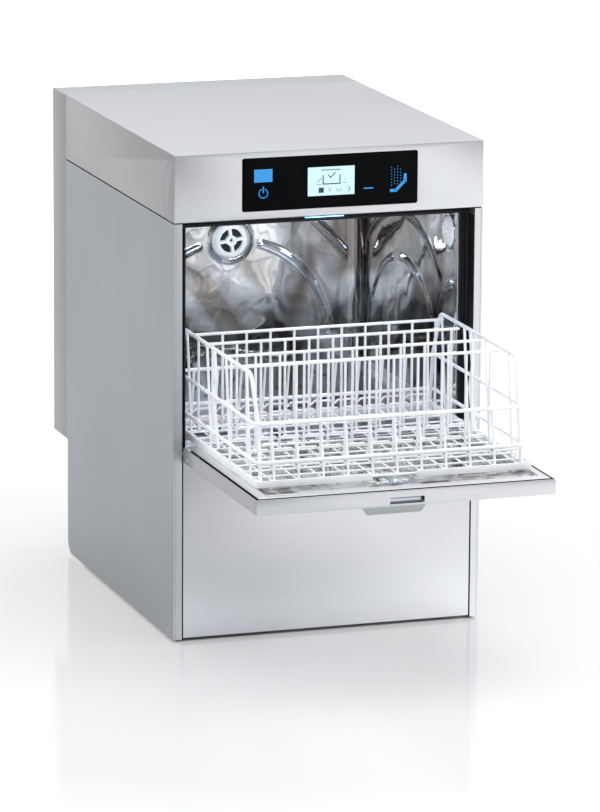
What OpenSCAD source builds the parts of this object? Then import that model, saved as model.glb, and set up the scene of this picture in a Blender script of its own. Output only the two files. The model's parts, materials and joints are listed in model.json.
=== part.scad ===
// Undercounter glass-washer with a drop-down door and a wire rack.
// The door is drawn open and level, with the rack standing on it.
// Millimetres, +Z up. The origin is on the floor, midway between the open
// door's front edge and the back of the machine, and midway across it.
// Inside the modules, y is the depth behind the cabinet's front face.

/* [Cabinet] */
// Width over the side panels
body_w = 460; // [460:1:480]
// Depth from the front face to the back of the rear housing
body_d = 617; // [610:1:640]
// Height of the top of the hood above the floor
body_h = 700; // [700:1:720]
// Sheet metal thickness
sheet = 1.2; // [1:0.1:1.5]
// Height of the hood's front band
hood_h = 96.5; // [92:0.5:96.5]
// Depth of the hood, in front of the rear housing
hood_d = 544; // [540:1:548]
// Depth of the cabinet below the rear step
lower_d = 500; // [496:1:504]
// Height of the rear step's underside
step_z = 176; // [170:1:180]
// Width of the side panels' front edges
edge_w = 12.5; // [12:0.5:13]

/* [Wash chamber] */
// Inside width of the chamber
chamber_w = 412; // [410:1:414]
// Depth of the chamber's rear wall
chamber_back = 460; // [455:1:462]
// Height of the chamber's roof
roof_z = 640; // [636:1:645]
// Height of the tank floor
tank_z = 205; // [200:1:206]
// Height of the door opening's upper edge
opening_z = 592; // [588:1:594]
// Depth of the wash arms' turning axis
arm_y = 228; // [224:1:232]

/* [Door] */
// Width of the door
door_w = 433; // [431:0.5:433]
// Height of the hinge axis
hinge_z = 265; // [265:1:266]
// Depth of the hinge axis behind the front face
hinge_y = 3; // [3:0.1:3.2]
// Length of the door from the hinge axis to its free edge
door_len = 337.5; // [334:0.5:337.5]
// Thickness of the outer pan
door_t = 21.5; // [21:0.1:21.5]
// Width of the grip lip
grip_w = 95; // [80:1:120]

/* [Rack] */
// Width and depth of the rack
rack_size = 400; // [396:1:400]
// Height of the side rims' centres above the floor
rim_z = 438; // [430:1:440]
// Height of the upper hoop's centre above the floor
hoop_high_z = 372; // [365:1:375]
// Height of the lower hoop's centre above the floor
hoop_low_z = 320; // [316:1:325]
// Spacing of the wires
wire_pitch = 35.6; // [32:0.1:36]

/* [Controls] */
// Width of the control glass
glass_w = 260; // [240:1:270]
// Height of the control glass
glass_h = 75.5; // [70:0.5:76]

/* [Hidden] */
$fn = 48;

gap = 0.1;
half_w = body_w / 2;
door_reach = door_len - hinge_y;
front_y = (door_reach - body_d) / 2;
hood_z = body_h - hood_h;
panel_bottom = 3;
screw_head = 1.6;

half_chamber = chamber_w / 2;
wall_t = 1.5;
rim_y = 24.5;
gasket_t = 5.5;
bulkhead_y = rim_y + gasket_t + gap;
chamber_front = bulkhead_y + wall_t + gap;
half_opening = half_chamber - 1.5;
sill_z = hinge_z - 3;

door_bottom = hinge_z - 3;
door_skin = 1.5;
door_face = door_bottom + 24;
half_door = door_w / 2;
arm_in = 207;
arm_out = 211;
pin_r = 2;

rack_front = -280 - 3.2;
rack_mid = rack_front + rack_size / 2;
rod_y = -280;
rod_z = door_face + 7;
strip_z = door_face + 1.3;
strip_h = 10;
thin_r = 1.5;
upright_r = 1.9;
cross_r = 2.2;
hoop_r = 2.7;
rim_r = 2.8;
half_hoop = rack_size / 2 - 4.6;
half_rim = half_hoop - 1;
rod_gap_half = 32;
base_top = strip_z + strip_h + 2.3;
wires_each_side = 5;
grid_shift = upright_r + thin_r + gap;
fence_depths = [-174, -102, -17, 49];
side_foot_depths = [-231.5, -140, -53.5, 40];
side_lean = 20;
foot_top = strip_z + 4;

foot_x = 190;
foot_front_y = 45;
foot_rear_y = 455;
foot_pad_h = 8;
base_z = 10;

sump_x = -90;
sump_y = 330;
sump_r = 60;
pump_y = 200;
pump_z = 72;

inlet_x = -150;
inlet_z = 105;
inlet_r = 13.2;
drain_x = -60;
drain_z = 62;
drain_r = 10;
gland_x = 60;
gland_z = 62;

// ---- helpers -------------------------------------------------------------

// Moves the depth-from-front coordinates into the object's own frame.
module placed() {
    translate([0, front_y, 0]) children();
}

// A box from its lowest to its highest corner.
module block(low, high) {
    translate(low) cube(high - low);
}

// A round bar along x, from x0 to x1.
module bar_x(x0, x1, y, z, r) {
    translate([x0, y, z]) rotate([0, 90, 0]) cylinder(h = x1 - x0, r = r);
}

// A round bar along y, from y0 to y1.
module bar_y(x, y0, y1, z, r) {
    translate([x, y1, z]) rotate([90, 0, 0]) cylinder(h = y1 - y0, r = r);
}

// A round bar along z, from z0 to z1.
module bar_z(x, y, z0, z1, r) {
    translate([x, y, z0]) cylinder(h = z1 - z0, r = r);
}

// A round bar between two points that share the same x.
module leaning_bar(x, from_yz, to_yz, r) {
    run = to_yz - from_yz;
    tilt = atan2(-run[0], run[1]);
    translate([x, from_yz[0], from_yz[1]])
        rotate([tilt, 0, 0])
            cylinder(h = norm(run), r = r);
}

// Draws the children on the right, and mirrored on the left.
module both_sides() {
    children();
    mirror([1, 0, 0]) children();
}

// ---- cabinet -------------------------------------------------------------

module base_frame() color("silver") placed() {
    plate_t = 2;
    plate_y = 25;
    boss_r = 11;
    difference() {
        union() {
            block([-226, plate_y, base_z], [226, lower_d - 5, base_z + plate_t]);
            both_sides() {
                block([224.5, 34, base_z], [226, lower_d - 5, base_z + 30]);
                bar_z(foot_x, foot_front_y, base_z, base_z + 30, boss_r);
                bar_z(foot_x, foot_rear_y, base_z, base_z + 30, boss_r);
            }
        }
        both_sides() {
            bar_z(foot_x, foot_front_y, base_z - 1, base_z + 31, 5.1);
            bar_z(foot_x, foot_rear_y, base_z - 1, base_z + 31, 5.1);
        }
    }
}

// Side outline: the lower rear is cut away under the step.
module side_outline() {
    polygon([
        [0, panel_bottom], [lower_d - 40, panel_bottom],
        [lower_d, panel_bottom + 20], [lower_d, step_z],
        [hood_d, step_z], [hood_d, hood_z - 0.5], [0, hood_z - 0.5]
    ]);
}

module side_panel() {
    edge_x = half_w - edge_w;
    translate([half_w - sheet, 0, 0])
        rotate([90, 0, 90])
            linear_extrude(sheet) side_outline();
    block([edge_x, 0, panel_bottom], [half_w, sheet, hood_z - 0.5]);
    block([edge_x, 0, panel_bottom], [edge_x + sheet, 24, hood_z - 0.5]);
}

module right_side_panel() color("gainsboro") placed() side_panel();

module left_side_panel() color("gainsboro") placed()
    mirror([1, 0, 0]) side_panel();

module top_hood() color("whitesmoke") placed() {
    lip = 20;
    difference() {
        block([-half_w, 0, hood_z], [half_w, hood_d - 0.1, body_h]);
        block(
            [-half_w + sheet, sheet, hood_z + sheet],
            [half_w - sheet, hood_d, body_h - sheet]
        );
        block(
            [-half_w + sheet, lip, hood_z - 1],
            [half_w - sheet, hood_d, hood_z + 2 * sheet]
        );
        control_window(0.3, 2);
    }
}

// The opening for the control glass, grown by a clearance on each side.
module control_window(clear, depth) {
    block(
        [-glass_w / 2 - clear, -1, glass_bottom() - clear],
        [glass_w / 2 + clear, depth, glass_bottom() + glass_h + clear]
    );
}

function glass_bottom() = hood_z + 11.5;

module rear_housing() color("gainsboro") placed() {
    back = body_d - screw_head;
    slot_rows = 5;
    difference() {
        block([-half_w, hood_d + 0.3, step_z], [half_w, back, body_h]);
        block(
            [-half_w + sheet, hood_d, step_z + sheet],
            [half_w - sheet, back - sheet, body_h - sheet]
        );
        for (row = [0 : slot_rows - 1], column = [-1, 0, 1])
            translate([column * 60, back - sheet / 2, 600 + row * 12])
                cube([46, 3 * sheet, 4], center = true);
    }
}

module rear_lower_panel() color("silver") placed() {
    half = half_w - sheet - gap;
    difference() {
        union() {
            block([-half, lower_d - sheet, 30], [half, lower_d, step_z]);
            block(
                [-half, lower_d, step_z - sheet],
                [half, hood_d, step_z]
            );
        }
        bar_y(inlet_x, lower_d - 5, lower_d + 5, inlet_z, inlet_r + 0.8);
        bar_y(drain_x, lower_d - 5, lower_d + 5, drain_z, drain_r + 1);
        bar_y(gland_x, lower_d - 5, lower_d + 5, gland_z, 9);
    }
}

module front_service_panel() color("whitesmoke") placed() {
    half = half_w - edge_w - 1;
    top = door_bottom - 0.7;
    block([-half, 0, 5], [half, sheet, top]);
    both_sides()
        block([half - sheet, 0, 5], [half, 16, top - 20]);
}

module front_bulkhead() color("silver") placed() {
    half = half_w - sheet - gap;
    difference() {
        block(
            [-half, bulkhead_y, base_z + 3],
            [half, bulkhead_y + wall_t, roof_z + wall_t]
        );
        block(
            [-half_opening, bulkhead_y - 1, sill_z],
            [half_opening, bulkhead_y + 5, opening_z]
        );
    }
}

// Black seal round the sides and top of the opening.
module door_gasket() color("black") placed() {
    outer = half_w - edge_w - 0.5;
    top = opening_z + gasket_t;
    light_half = 28.5;
    both_sides() {
        block(
            [half_opening, rim_y, hinge_z + 5],
            [outer, rim_y + gasket_t, opening_z - gap]
        );
        block(
            [light_half, rim_y, top + gap],
            [outer, rim_y + gasket_t, top + 4.5]
        );
    }
    block([-outer, rim_y, opening_z], [outer, rim_y + gasket_t, top]);
}

module status_light() color("deepskyblue") placed() {
    z0 = opening_z + gasket_t + gap;
    block([-28, 22, z0], [28, rim_y + gasket_t, z0 + 4.2]);
}

module cabinet_screws() color("dimgray") placed() {
    back = body_d - screw_head;
    both_sides() {
        for (z = [step_z + 20, 440, body_h - 20])
            bar_y(half_w - 16, back + 0.05, body_d, z, 4);
        bar_y(half_w - 16, lower_d + 0.05, lower_d + screw_head, 60, 4);
        bar_y(half_w - 16, lower_d + 0.05, lower_d + screw_head, 150, 4);
    }
}

// ---- wash chamber and tank -----------------------------------------------

module chamber_side() {
    block(
        [half_chamber, chamber_front, tank_z],
        [half_chamber + wall_t, chamber_back + wall_t, roof_z - gap]
    );
}

module chamber_right_wall() color("lightsteelblue") placed()
    chamber_side();

module chamber_left_wall() color("lightsteelblue") placed()
    mirror([1, 0, 0]) chamber_side();

module chamber_rear_wall() color("lightsteelblue") placed() {
    half = half_chamber - gap;
    block(
        [-half, chamber_back, tank_z],
        [half, chamber_back + wall_t, roof_z - gap]
    );
}

module chamber_roof() color("lightsteelblue") placed() {
    half = half_chamber + wall_t;
    difference() {
        block(
            [-half, chamber_front, roof_z],
            [half, chamber_back + wall_t, roof_z + wall_t]
        );
        bar_z(0, arm_y, roof_z - 1, roof_z + 5, 12);
    }
}

module tank_floor() color("lightsteelblue") placed() {
    half = half_chamber + wall_t;
    z1 = tank_z - gap;
    difference() {
        block(
            [-half, chamber_front, z1 - wall_t],
            [half, chamber_back + wall_t, z1]
        );
        bar_z(sump_x, sump_y, z1 - 5, z1 + 5, sump_r);
        bar_z(0, arm_y, z1 - 5, z1 + 5, 12);
    }
}

module tank_sump() color("silver") placed() {
    z1 = tank_z - gap - wall_t;
    difference() {
        union() {
            bar_z(sump_x, sump_y, 130, z1 - gap, sump_r + 2);
            bar_y(sump_x, sump_y - sump_r - 30, sump_y, 150, 15);
        }
        bar_z(sump_x, sump_y, 133, z1 + 1, sump_r - 1);
        bar_y(sump_x, sump_y - sump_r - 31, sump_y, 150, 12.5);
    }
}

// Perforated plate over the tank.
module tank_strainer() color("silver") placed() {
    z0 = 226;
    half = half_chamber - 2;
    difference() {
        block(
            [-half, chamber_front + 2, z0],
            [half, chamber_back - 2, z0 + 1.5]
        );
        bar_z(0, arm_y, z0 - 1, z0 + 3, 16);
        bar_z(sump_x, sump_y, z0 - 1, z0 + 3, 46);
        for (i = [-4 : 4], j = [-3 : 3])
            if (norm([i * 38, j * 38 + 8]) > 30
                && norm([i * 38 - sump_x, arm_y + j * 38 + 8 - sump_y]) > 56)
                bar_z(i * 38, arm_y + 8 + j * 38, z0 - 1, z0 + 3, 5);
    }
}

// Cup-shaped filter that drops into the sump.
module strainer_basket() color("gray") placed() {
    difference() {
        union() {
            bar_z(sump_x, sump_y, 170, 227.4, 42);
            bar_z(sump_x, sump_y, 227.6, 229.6, 50);
            bar_z(sump_x, sump_y, 227, 228, 42);
        }
        bar_z(sump_x, sump_y, 172, 240, 40);
    }
}

// Angle rails that carry the rack inside the chamber.
module rack_rails() color("silver") placed() {
    top = door_face + 0.3;
    inner = half_chamber - 18;
    both_sides() {
        block(
            [inner, chamber_front + 4, top - 2],
            [half_chamber - gap, chamber_back - 5, top]
        );
        block(
            [half_chamber - 2 - gap, chamber_front + 4, top - 20],
            [half_chamber - gap, chamber_back - 5, top]
        );
    }
}

// Round grille with four curved slots and a hub, facing +z.
module vent_grille() {
    slot_r = 13;
    difference() {
        union() {
            cylinder(h = 6, r = 33);
            cylinder(h = 9, r = 25.5);
        }
        difference() {
            translate([0, 0, 5]) cylinder(h = 5, r = slot_r + 4);
            translate([0, 0, 4]) cylinder(h = 6, r = slot_r - 4);
            for (turn = [0, 90])
                rotate(turn + 45)
                    translate([-20, -2.5, 4]) cube([40, 5, 6]);
        }
        translate([0, 0, 7]) cylinder(h = 3, r = 3);
    }
}

module chamber_vents() color("white") placed() {
    translate([0, chamber_back - gap, 484])
        rotate([90, 0, 0])
            vent_grille();
    translate([half_chamber - gap, 66, 558])
        rotate([0, -90, 0])
            scale(0.82)
                vent_grille();
}

module arm_columns() color("gray") placed() {
    // Lower column, standing on the tank floor.
    bar_z(0, arm_y, 180, 236, 11);
    bar_z(0, arm_y, 235, 263.5, 8);
    bar_z(0, arm_y, 263, 276, 5);
    bar_z(0, arm_y, 275.5, 279, 9);
    // Upper column, hanging from the roof.
    bar_z(0, arm_y, 627, 662, 11);
    bar_z(0, arm_y, 603.5, 628, 8);
    bar_z(0, arm_y, 591, 604, 5);
    bar_z(0, arm_y, 587.5, 591.5, 9);
}

// ---- wash and rinse arms -------------------------------------------------

// Flat tapered arm with nozzles, centred on the axis, its lower face at z = 0.
module wash_arm(flip) {
    tip = 172;
    body_t = 10;
    hub_h = 16;
    mirror([0, 0, flip ? 1 : 0])
        difference() {
            union() {
                cylinder(h = hub_h, r = 20);
                for (side = [0, 180])
                    rotate(side)
                        hull() {
                            translate([14, 0, 2])
                                cylinder(h = body_t, r = 14, $fn = 32);
                            translate([tip, 0, 3])
                                cylinder(h = body_t - 3, r = 9, $fn = 32);
                        }
                for (side = [0, 180], reach = [50 : 30 : 140])
                    rotate(side)
                        translate([reach, 0, 5])
                            cylinder(h = 9, r = 4);
            }
            translate([0, 0, -1]) cylinder(h = hub_h + 2, r = 8.1);
        }
}

// Slim round tube arm with nozzles, its hub's lower face at z = 0.
module rinse_arm(flip) {
    reach = 165;
    hub_h = 10;
    mirror([0, 0, flip ? 1 : 0])
        difference() {
            union() {
                cylinder(h = hub_h, r = 13);
                bar_x(8, reach, 0, 5, 4.5);
                bar_x(-reach, -8, 0, 5, 4.5);
                for (x = [40 : 30 : 160], side = [-1, 1])
                    bar_z(side * x, 0, 5, 10.5, 2.5);
            }
            translate([0, 0, -1]) cylinder(h = hub_h + 2, r = 5.1);
        }
}

module lower_wash_arm() color("silver") placed()
    translate([0, arm_y, 246]) wash_arm(false);

module lower_rinse_arm() color("silver") placed()
    translate([0, arm_y, 264.5]) rotate(35) rinse_arm(false);

module upper_wash_arm() color("silver") placed()
    translate([0, arm_y, 621]) wash_arm(true);

module upper_rinse_arm() color("silver") placed()
    translate([0, arm_y, 602.5]) rotate(35) rinse_arm(true);

// ---- machinery below and behind the tank ---------------------------------

// Motor and volute on one axis along x, with a suction port and an outlet.
module wash_pump() color("slategray") placed() {
    difference() {
        union() {
            bar_x(-40, 90, pump_y, pump_z, 42);
            bar_x(90, 128, pump_y, pump_z, 54);
            bar_x(128, 146, pump_y, pump_z, 20);
            bar_z(109, pump_y + 30, pump_z, 140, 14);
            block([-30, pump_y - 40, base_z + 2.2], [80, pump_y + 40, 35]);
        }
        bar_x(94, 124, pump_y, pump_z, 46);
        bar_x(120, 150, pump_y, pump_z, 16);
        bar_x(60, 95, pump_y, pump_z, 6.1);
        bar_z(109, pump_y + 30, pump_z + 20, 141, 11);
    }
}

module pump_impeller() color("darkslategray") placed() {
    vanes = 6;
    bar_x(62, 98, pump_y, pump_z, 6);
    bar_x(97, 100, pump_y, pump_z, 42);
    bar_x(99, 118, pump_y, pump_z, 9);
    translate([99.5, pump_y, pump_z])
        for (turn = [0 : vanes - 1])
            rotate([turn * 360 / vanes, 0, 0])
                translate([0, -1.5, 6])
                    cube([15, 3, 33]);
}

// Pressure pipes from the pump to the lower and upper arm columns.
module wash_pipes() color("dimgray") placed() {
    pipe_r = 12;
    joint_r = 14;
    riser_y = 482;
    run_z = 158;
    top_z = 668;
    outlet_y = pump_y + 30;
    bar_z(109, outlet_y, 140.2, run_z, pipe_r);
    translate([109, outlet_y, run_z]) sphere(r = joint_r);
    bar_y(109, outlet_y, riser_y, run_z, pipe_r);
    translate([109, riser_y, run_z]) sphere(r = joint_r);
    bar_z(109, riser_y, run_z, top_z, pipe_r);
    translate([109, riser_y, top_z]) sphere(r = joint_r);
    bar_x(0, 109, riser_y, top_z, pipe_r);
    translate([0, riser_y, top_z]) sphere(r = joint_r);
    difference() {
        bar_y(0, arm_y, riser_y, top_z, pipe_r);
        bar_z(0, arm_y, 640, 662.2, 11.2);
    }
    bar_x(0, 109, outlet_y, run_z, pipe_r);
    bar_z(0, outlet_y - 2, run_z, 179.8, pipe_r - 1);
}

module rinse_boiler() color("silver") placed() {
    difference() {
        union() {
            bar_z(-110, 538, 200, 440, 64);
            bar_z(-110, 538, 196, 202, 68);
            bar_z(-110, 538, 440, 456, 12);
        }
        bar_z(-110, 538, 203, 437, 61);
        bar_z(-110, 538, 190, 210, 20);
    }
}

// Heating rod with its flange, screwed into the foot of the boiler.
module boiler_element() color("peru") placed() {
    bar_z(-110, 538, 186, 195.8, 30);
    bar_z(-110, 538, 195, 210, 19);
    bar_z(-122, 538, 209, 380, 4);
    bar_z(-98, 538, 209, 380, 4);
    bar_x(-122, -98, 538, 380, 4);
}

// Bent heating rod lying in the tank.
module tank_heater() color("peru") placed() {
    z = 215;
    loop_r = 40;
    rod_r = 3.5;
    x = 120;
    for (side = [-1, 1])
        bar_y(x + side * loop_r, 80, 330, z, rod_r);
    translate([x, 330, z])
        rotate_extrude(angle = 180)
            translate([loop_r, 0]) circle(r = rod_r);
    bar_x(x - loop_r - 1, x + loop_r + 1, 80, z, rod_r);
}

// Detergent and rinse-aid pumps behind the service panel.
module dosing_pumps() color("royalblue") placed() {
    for (x = [-160, -85]) {
        block([x - 28, 18, 120], [x + 28, 29.8, 190]);
        bar_y(x, 4, 18.5, 155, 24);
        bar_y(x, 32, 80, 155, 20);
    }
}

module drain_pump() color("dimgray") placed() {
    bar_y(drain_x, 380, 440, drain_z, 32);
    bar_y(drain_x, 440, 462, drain_z, 38);
    block([drain_x - 30, 385, base_z + 2.2], [drain_x + 30, 455, 34]);
}

// Drain pipe with a plain spigot for the hose, behind a narrower neck.
module drain_outlet() color("dimgray") placed() {
    neck_end = lower_d + 3;
    bar_y(drain_x, 462.2, 492, drain_z, 15);
    bar_y(drain_x, 491, neck_end, drain_z, 9);
    bar_y(drain_x, neck_end, neck_end + 25, drain_z, drain_r);
}

// Solenoid valve with a threaded stub for the supply hose.
module inlet_valve() color("goldenrod") placed() {
    block(
        [inlet_x - 18, 440, inlet_z - 18],
        [inlet_x + 18, 498.5, inlet_z + 18]
    );
    bar_y(inlet_x, 498, lower_d + 1, inlet_z, inlet_r - 1);
    bar_y(inlet_x, lower_d + 1, lower_d + 16, inlet_z, inlet_r);
    bar_z(inlet_x, 465, inlet_z + 17, inlet_z + 46, 14);
}

module cable_gland() color("black") placed() {
    difference() {
        union() {
            bar_y(gland_x, 484, lower_d - 1.3, gland_z, 13);
            bar_y(gland_x, lower_d - 2, lower_d + 0.5, gland_z, 8.5);
            bar_y(gland_x, lower_d + 0.2, lower_d + 18, gland_z, 13);
        }
        bar_y(gland_x, 480, lower_d + 20, gland_z, 6);
    }
}

// ---- controls ------------------------------------------------------------

module control_glass() color("black") placed() {
    block(
        [-glass_w / 2, -0.3, glass_bottom()],
        [glass_w / 2, 3.7, glass_bottom() + glass_h]
    );
}

module control_display() color("aliceblue") placed() {
    block(
        [-33.5, -0.55, glass_bottom() + 17.5],
        [35.8, -0.35, glass_bottom() + 58.4]
    );
}

// Power ring, plain square mark, dash, and a bowl with spray strokes.
module control_icons() color("dodgerblue") placed() {
    back = -0.35;
    face = -0.55;
    ring_z = glass_bottom() + 25;
    difference() {
        bar_y(-99, face, back, ring_z, 7);
        bar_y(-99, face - 1, back + 1, ring_z, 5.6);
        block([-101, -2, ring_z + 2], [-97, 2, ring_z + 9]);
    }
    block([-99.7, face, ring_z], [-98.3, back, ring_z + 8]);
    block(
        [-108, face, glass_bottom() + 43],
        [-90, back, glass_bottom() + 57]
    );
    block([49.6, face, ring_z - 0.8], [63.8, back, ring_z + 0.8]);
    difference() {
        bar_y(101, face, back, ring_z + 14, 15);
        bar_y(101, face - 1, back + 1, ring_z + 14, 12);
        block([80, -2, ring_z + 8], [120, 2, ring_z + 32]);
    }
    for (i = [0 : 2])
        block(
            [105 + 4 * i, face, ring_z + 12 + 5 * i],
            [106.5 + 4 * i, back, ring_z + 18 + 5 * i]
        );
}

module control_board() color("darkgreen") placed() {
    block([-110, 9, 622], [110, 10.6, 684]);
    block([-60, 10, 630], [-20, 18, 660]);
    block([10, 10, 640], [40, 16, 670]);
}

// ---- hinges and door -----------------------------------------------------

// Brackets with their pivot pins, bolted to the front bulkhead.
module hinge_brackets() color("gray") placed() {
    both_sides() {
        block(
            [arm_out + 1, hinge_y, hinge_z - 17],
            [arm_out + 3.8, bulkhead_y - gap, hinge_z + 2.4]
        );
        block(
            [arm_out + 1, 1.5, hinge_z - 17],
            [arm_out + 3.8, 5, hinge_z - 4]
        );
        bar_x(arm_out + 1, arm_out + 3.8, hinge_y, hinge_z, 2.9);
        bar_x(arm_in - 1.5, arm_out + 1.5, hinge_y, hinge_z, pin_r);
    }
}

module door_outer_pan() color("whitesmoke") placed() {
    flange = 14;
    front = -door_reach;
    top = door_bottom + door_t;
    difference() {
        block([-half_door, front, door_bottom], [half_door, 0, top]);
        block(
            [-half_door + door_skin, front + door_skin, door_bottom + door_skin],
            [half_door - door_skin, -door_skin, top - door_skin]
        );
        block(
            [-half_door + flange, front + flange, top - 3],
            [half_door - flange, -flange, top + 1]
        );
        // Grip slot in the free edge.
        block([-25, front - 1, door_bottom + 3], [25, front + 5, door_bottom + 12]);
        // Corners left open for the hinge arms.
        both_sides()
            block([204.5, -3, door_bottom - 1], [half_door + 1, 1, top + 1]);
        both_sides()
            for (y = [-24, -60])
                bar_x(half_door - 3, half_door + 1, y, door_bottom + 8, 2.2);
    }
}

module door_inner_panel() color("lightsteelblue") placed() {
    edge = 5.5;
    depth = 1;
    difference() {
        block(
            [-half_door + edge, -door_reach + edge, door_face - 2.4],
            [half_door - edge, -8, door_face]
        );
        // Two sunk fields.
        both_sides()
            block(
                [18, -door_reach + 38, door_face - depth],
                [150, -50, door_face + 1]
            );
    }
}

module door_insulation() color("khaki") placed() {
    block(
        [-195, -door_reach + 12, door_bottom + door_skin + gap],
        [195, -12, door_bottom + door_t - 1.6]
    );
}

// Bent grip lip under the free end of the open door.
module door_grip() color("gray") placed() {
    drop = 24;
    lip_y = -281.5;
    lip_t = 3;
    translate([0, lip_y + lip_t, door_bottom - gap])
        rotate([90, 0, 0])
            linear_extrude(lip_t)
                polygon([
                    [-grip_w / 2, 0], [-grip_w / 2, -drop / 2],
                    [-grip_w / 2 + 9, -drop], [grip_w / 2 - 9, -drop],
                    [grip_w / 2, -drop / 2], [grip_w / 2, 0]
                ]);
    block(
        [-grip_w / 2, lip_y, door_bottom - 1.6],
        [grip_w / 2, lip_y + 22, door_bottom - gap]
    );
}

module door_hinge_arms() color("gray") placed() {
    both_sides()
        difference() {
            union() {
                bar_x(arm_in, arm_out, hinge_y, hinge_z, 3.6);
                block(
                    [arm_in, -75, door_bottom + door_skin + gap],
                    [arm_out, hinge_y, door_bottom + 14]
                );
            }
            bar_x(arm_in - 1, arm_out + 1, hinge_y, hinge_z, pin_r + 0.1);
            block(
                [arm_in - 1, hinge_y - 1, hinge_z + 3.6],
                [arm_out + 1, hinge_y + 9, hinge_z + 20]
            );
        }
}

module door_screws() color("dimgray") placed() {
    both_sides()
        for (y = [-24, -60]) {
            bar_x(arm_out + gap, half_door + 0.1, y, door_bottom + 8, 2);
            bar_x(half_door + 0.05, half_door + 0.55, y, door_bottom + 8, 3.5);
        }
}

// ---- rack ----------------------------------------------------------------

// Inset of the front and rear walls from the base edge, at height z.
function wall_inset(z) = 6 + 0.19 * (z - strip_z - strip_h);

// Centre of a front or rear hoop bar; side is -1 at the front, 1 at the rear.
function hoop_y(side, z) = rack_mid + side * (rack_size / 2 - wall_inset(z));

// Centre of an upright standing just inside the hoops.
function upright_y(side, z) =
    hoop_y(side, z) - side * (hoop_r + upright_r + gap);

// Bottom rod along the rack's front edge: it slides on the door.
module rack_front_rod() color("white") placed()
    bar_x(-197, 197, rod_y, rod_z, 1.8);

module rack_base() color("white") placed() {
    front_t = 1.3;
    bar_t = 3;
    rear = rack_front + rack_size;
    half = rack_size / 2;
    z0 = strip_z;
    z1 = strip_z + strip_h;
    eye_r = 3.2;
    // Front strip in two lengths, with eyes that hold the rod.
    both_sides()
        difference() {
            union() {
                block([rod_gap_half, rack_front, z0], [half, rack_front + front_t, z1]);
                for (x = [50, 120, 186])
                    bar_x(x, x + 8, rod_y, rod_z, eye_r);
            }
            bar_x(rod_gap_half - 1, half - 2.5, rod_y, rod_z, 1.9);
        }
    both_sides()
        block([half - 2, rack_front + front_t + 0.1, z0], [half, rear, z1]);
    block([-half + 2.1, rear - bar_t, z0], [half - 2.1, rear, z1]);
    // Grid: lengthways wires below, crossways wires on top of them.
    for (i = [-wires_each_side : wires_each_side])
        bar_y(
            i * wire_pitch + grid_shift, rod_y + 3.4, rear - bar_t - gap,
            z1 - 2.4, thin_r
        );
    both_sides()
        bar_y(
            half_hoop - hoop_r + thin_r, rod_y + 3.4, rear - bar_t - gap,
            z1 - 2.4, thin_r
        );
    for (j = [-wires_each_side : wires_each_side])
        bar_x(-half + 2.1, half - 2.1, rack_mid + j * wire_pitch, z1 + 0.7, thin_r);
}

// One hoop of straight bars with quarter-round corners.
module hoop(z) {
    bend = 9;
    front = hoop_y(-1, z);
    rear = hoop_y(1, z);
    end = half_hoop - bend - 0.05;
    for (y = [front, rear])
        bar_x(-end, end, y, z, hoop_r);
    for (side = [-1, 1])
        bar_y(side * half_hoop, front + bend + 0.05, rear - bend - 0.05, z, hoop_r);
    for (side = [0, 1], far = [0, 1])
        translate([
            (side == 0 ? -1 : 1) * (half_hoop - bend),
            far == 0 ? front + bend : rear - bend,
            z
        ])
            mirror([side == 0 ? 1 : 0, 0, 0])
                mirror([0, far == 0 ? 1 : 0, 0])
                    rotate_extrude(angle = 90)
                        translate([bend, 0]) circle(r = hoop_r);
}

module rack_hoops() color("white") placed() {
    hoop(hoop_low_z);
    hoop(hoop_high_z);
}

// Side rims, and corner posts that lean out from them to the base.
module rack_side_rims() color("white") placed() {
    bend_in = 46.7;
    corner_in = 6.6;
    knee_z = hoop_high_z + 4;
    post_x = half_rim - 2 * rim_r - gap;
    both_sides() {
        bar_y(
            half_rim, rack_mid - rack_size / 2 + bend_in,
            rack_mid + rack_size / 2 - bend_in, rim_z, rim_r
        );
        for (side = [-1, 1]) {
            foot = [hoop_y(side, base_top) - side * corner_in, base_top];
            knee = [hoop_y(side, knee_z) - side * corner_in, knee_z];
            top = [rack_mid + side * (rack_size / 2 - bend_in), rim_z];
            leaning_bar(post_x, foot, knee, rim_r);
            translate([post_x, knee[0], knee[1]]) sphere(r = rim_r + 0.1);
            leaning_bar(post_x, knee, top, rim_r);
        }
    }
}

module rack_uprights() color("white") placed() {
    foot_z = foot_top;
    side_x = half_hoop - hoop_r - upright_r - gap;
    for (side = [-1, 1], i = [-wires_each_side : wires_each_side - 1])
        leaning_bar(
            i * wire_pitch + 2 * grid_shift,
            [upright_y(side, foot_z), foot_z],
            [upright_y(side, hoop_high_z + 2), hoop_high_z + 2],
            upright_r
        );
    for (side = [-1, 1], depth = side_foot_depths)
        leaning_bar(
            side * side_x,
            [depth, foot_z],
            [depth + side_lean, rim_z - 3],
            upright_r
        );
    // One cranked post half way along each side.
    crank_x = half_hoop - hoop_r - rim_r - gap;
    low = [rack_mid, base_top + 0.5];
    below = [rack_mid + 22, hoop_high_z - 14];
    above = [rack_mid + 11, hoop_high_z + 18];
    high = [rack_mid + 21, rim_z - 3];
    both_sides() {
        leaning_bar(crank_x, low, below, rim_r - 0.2);
        leaning_bar(crank_x, below, above, rim_r - 0.2);
        leaning_bar(crank_x, above, high, rim_r - 0.2);
        for (bend = [below, above])
            translate([crank_x, bend[0], bend[1]]) sphere(r = rim_r - 0.1);
    }
}

// Four fences across the rack that part the rows of glasses.
module rack_dividers() color("white") placed() {
    cross_z = rim_z - 5;
    end = half_hoop - hoop_r - 2 * upright_r - 2 * gap;
    for (y = fence_depths) {
        bar_x(-end, end, y, cross_z, cross_r);
        for (i = [-wires_each_side : wires_each_side])
            bar_z(i * wire_pitch, y, foot_top, cross_z - cross_r - 0.05, upright_r);
    }
}

// ---- feet ----------------------------------------------------------------

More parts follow.
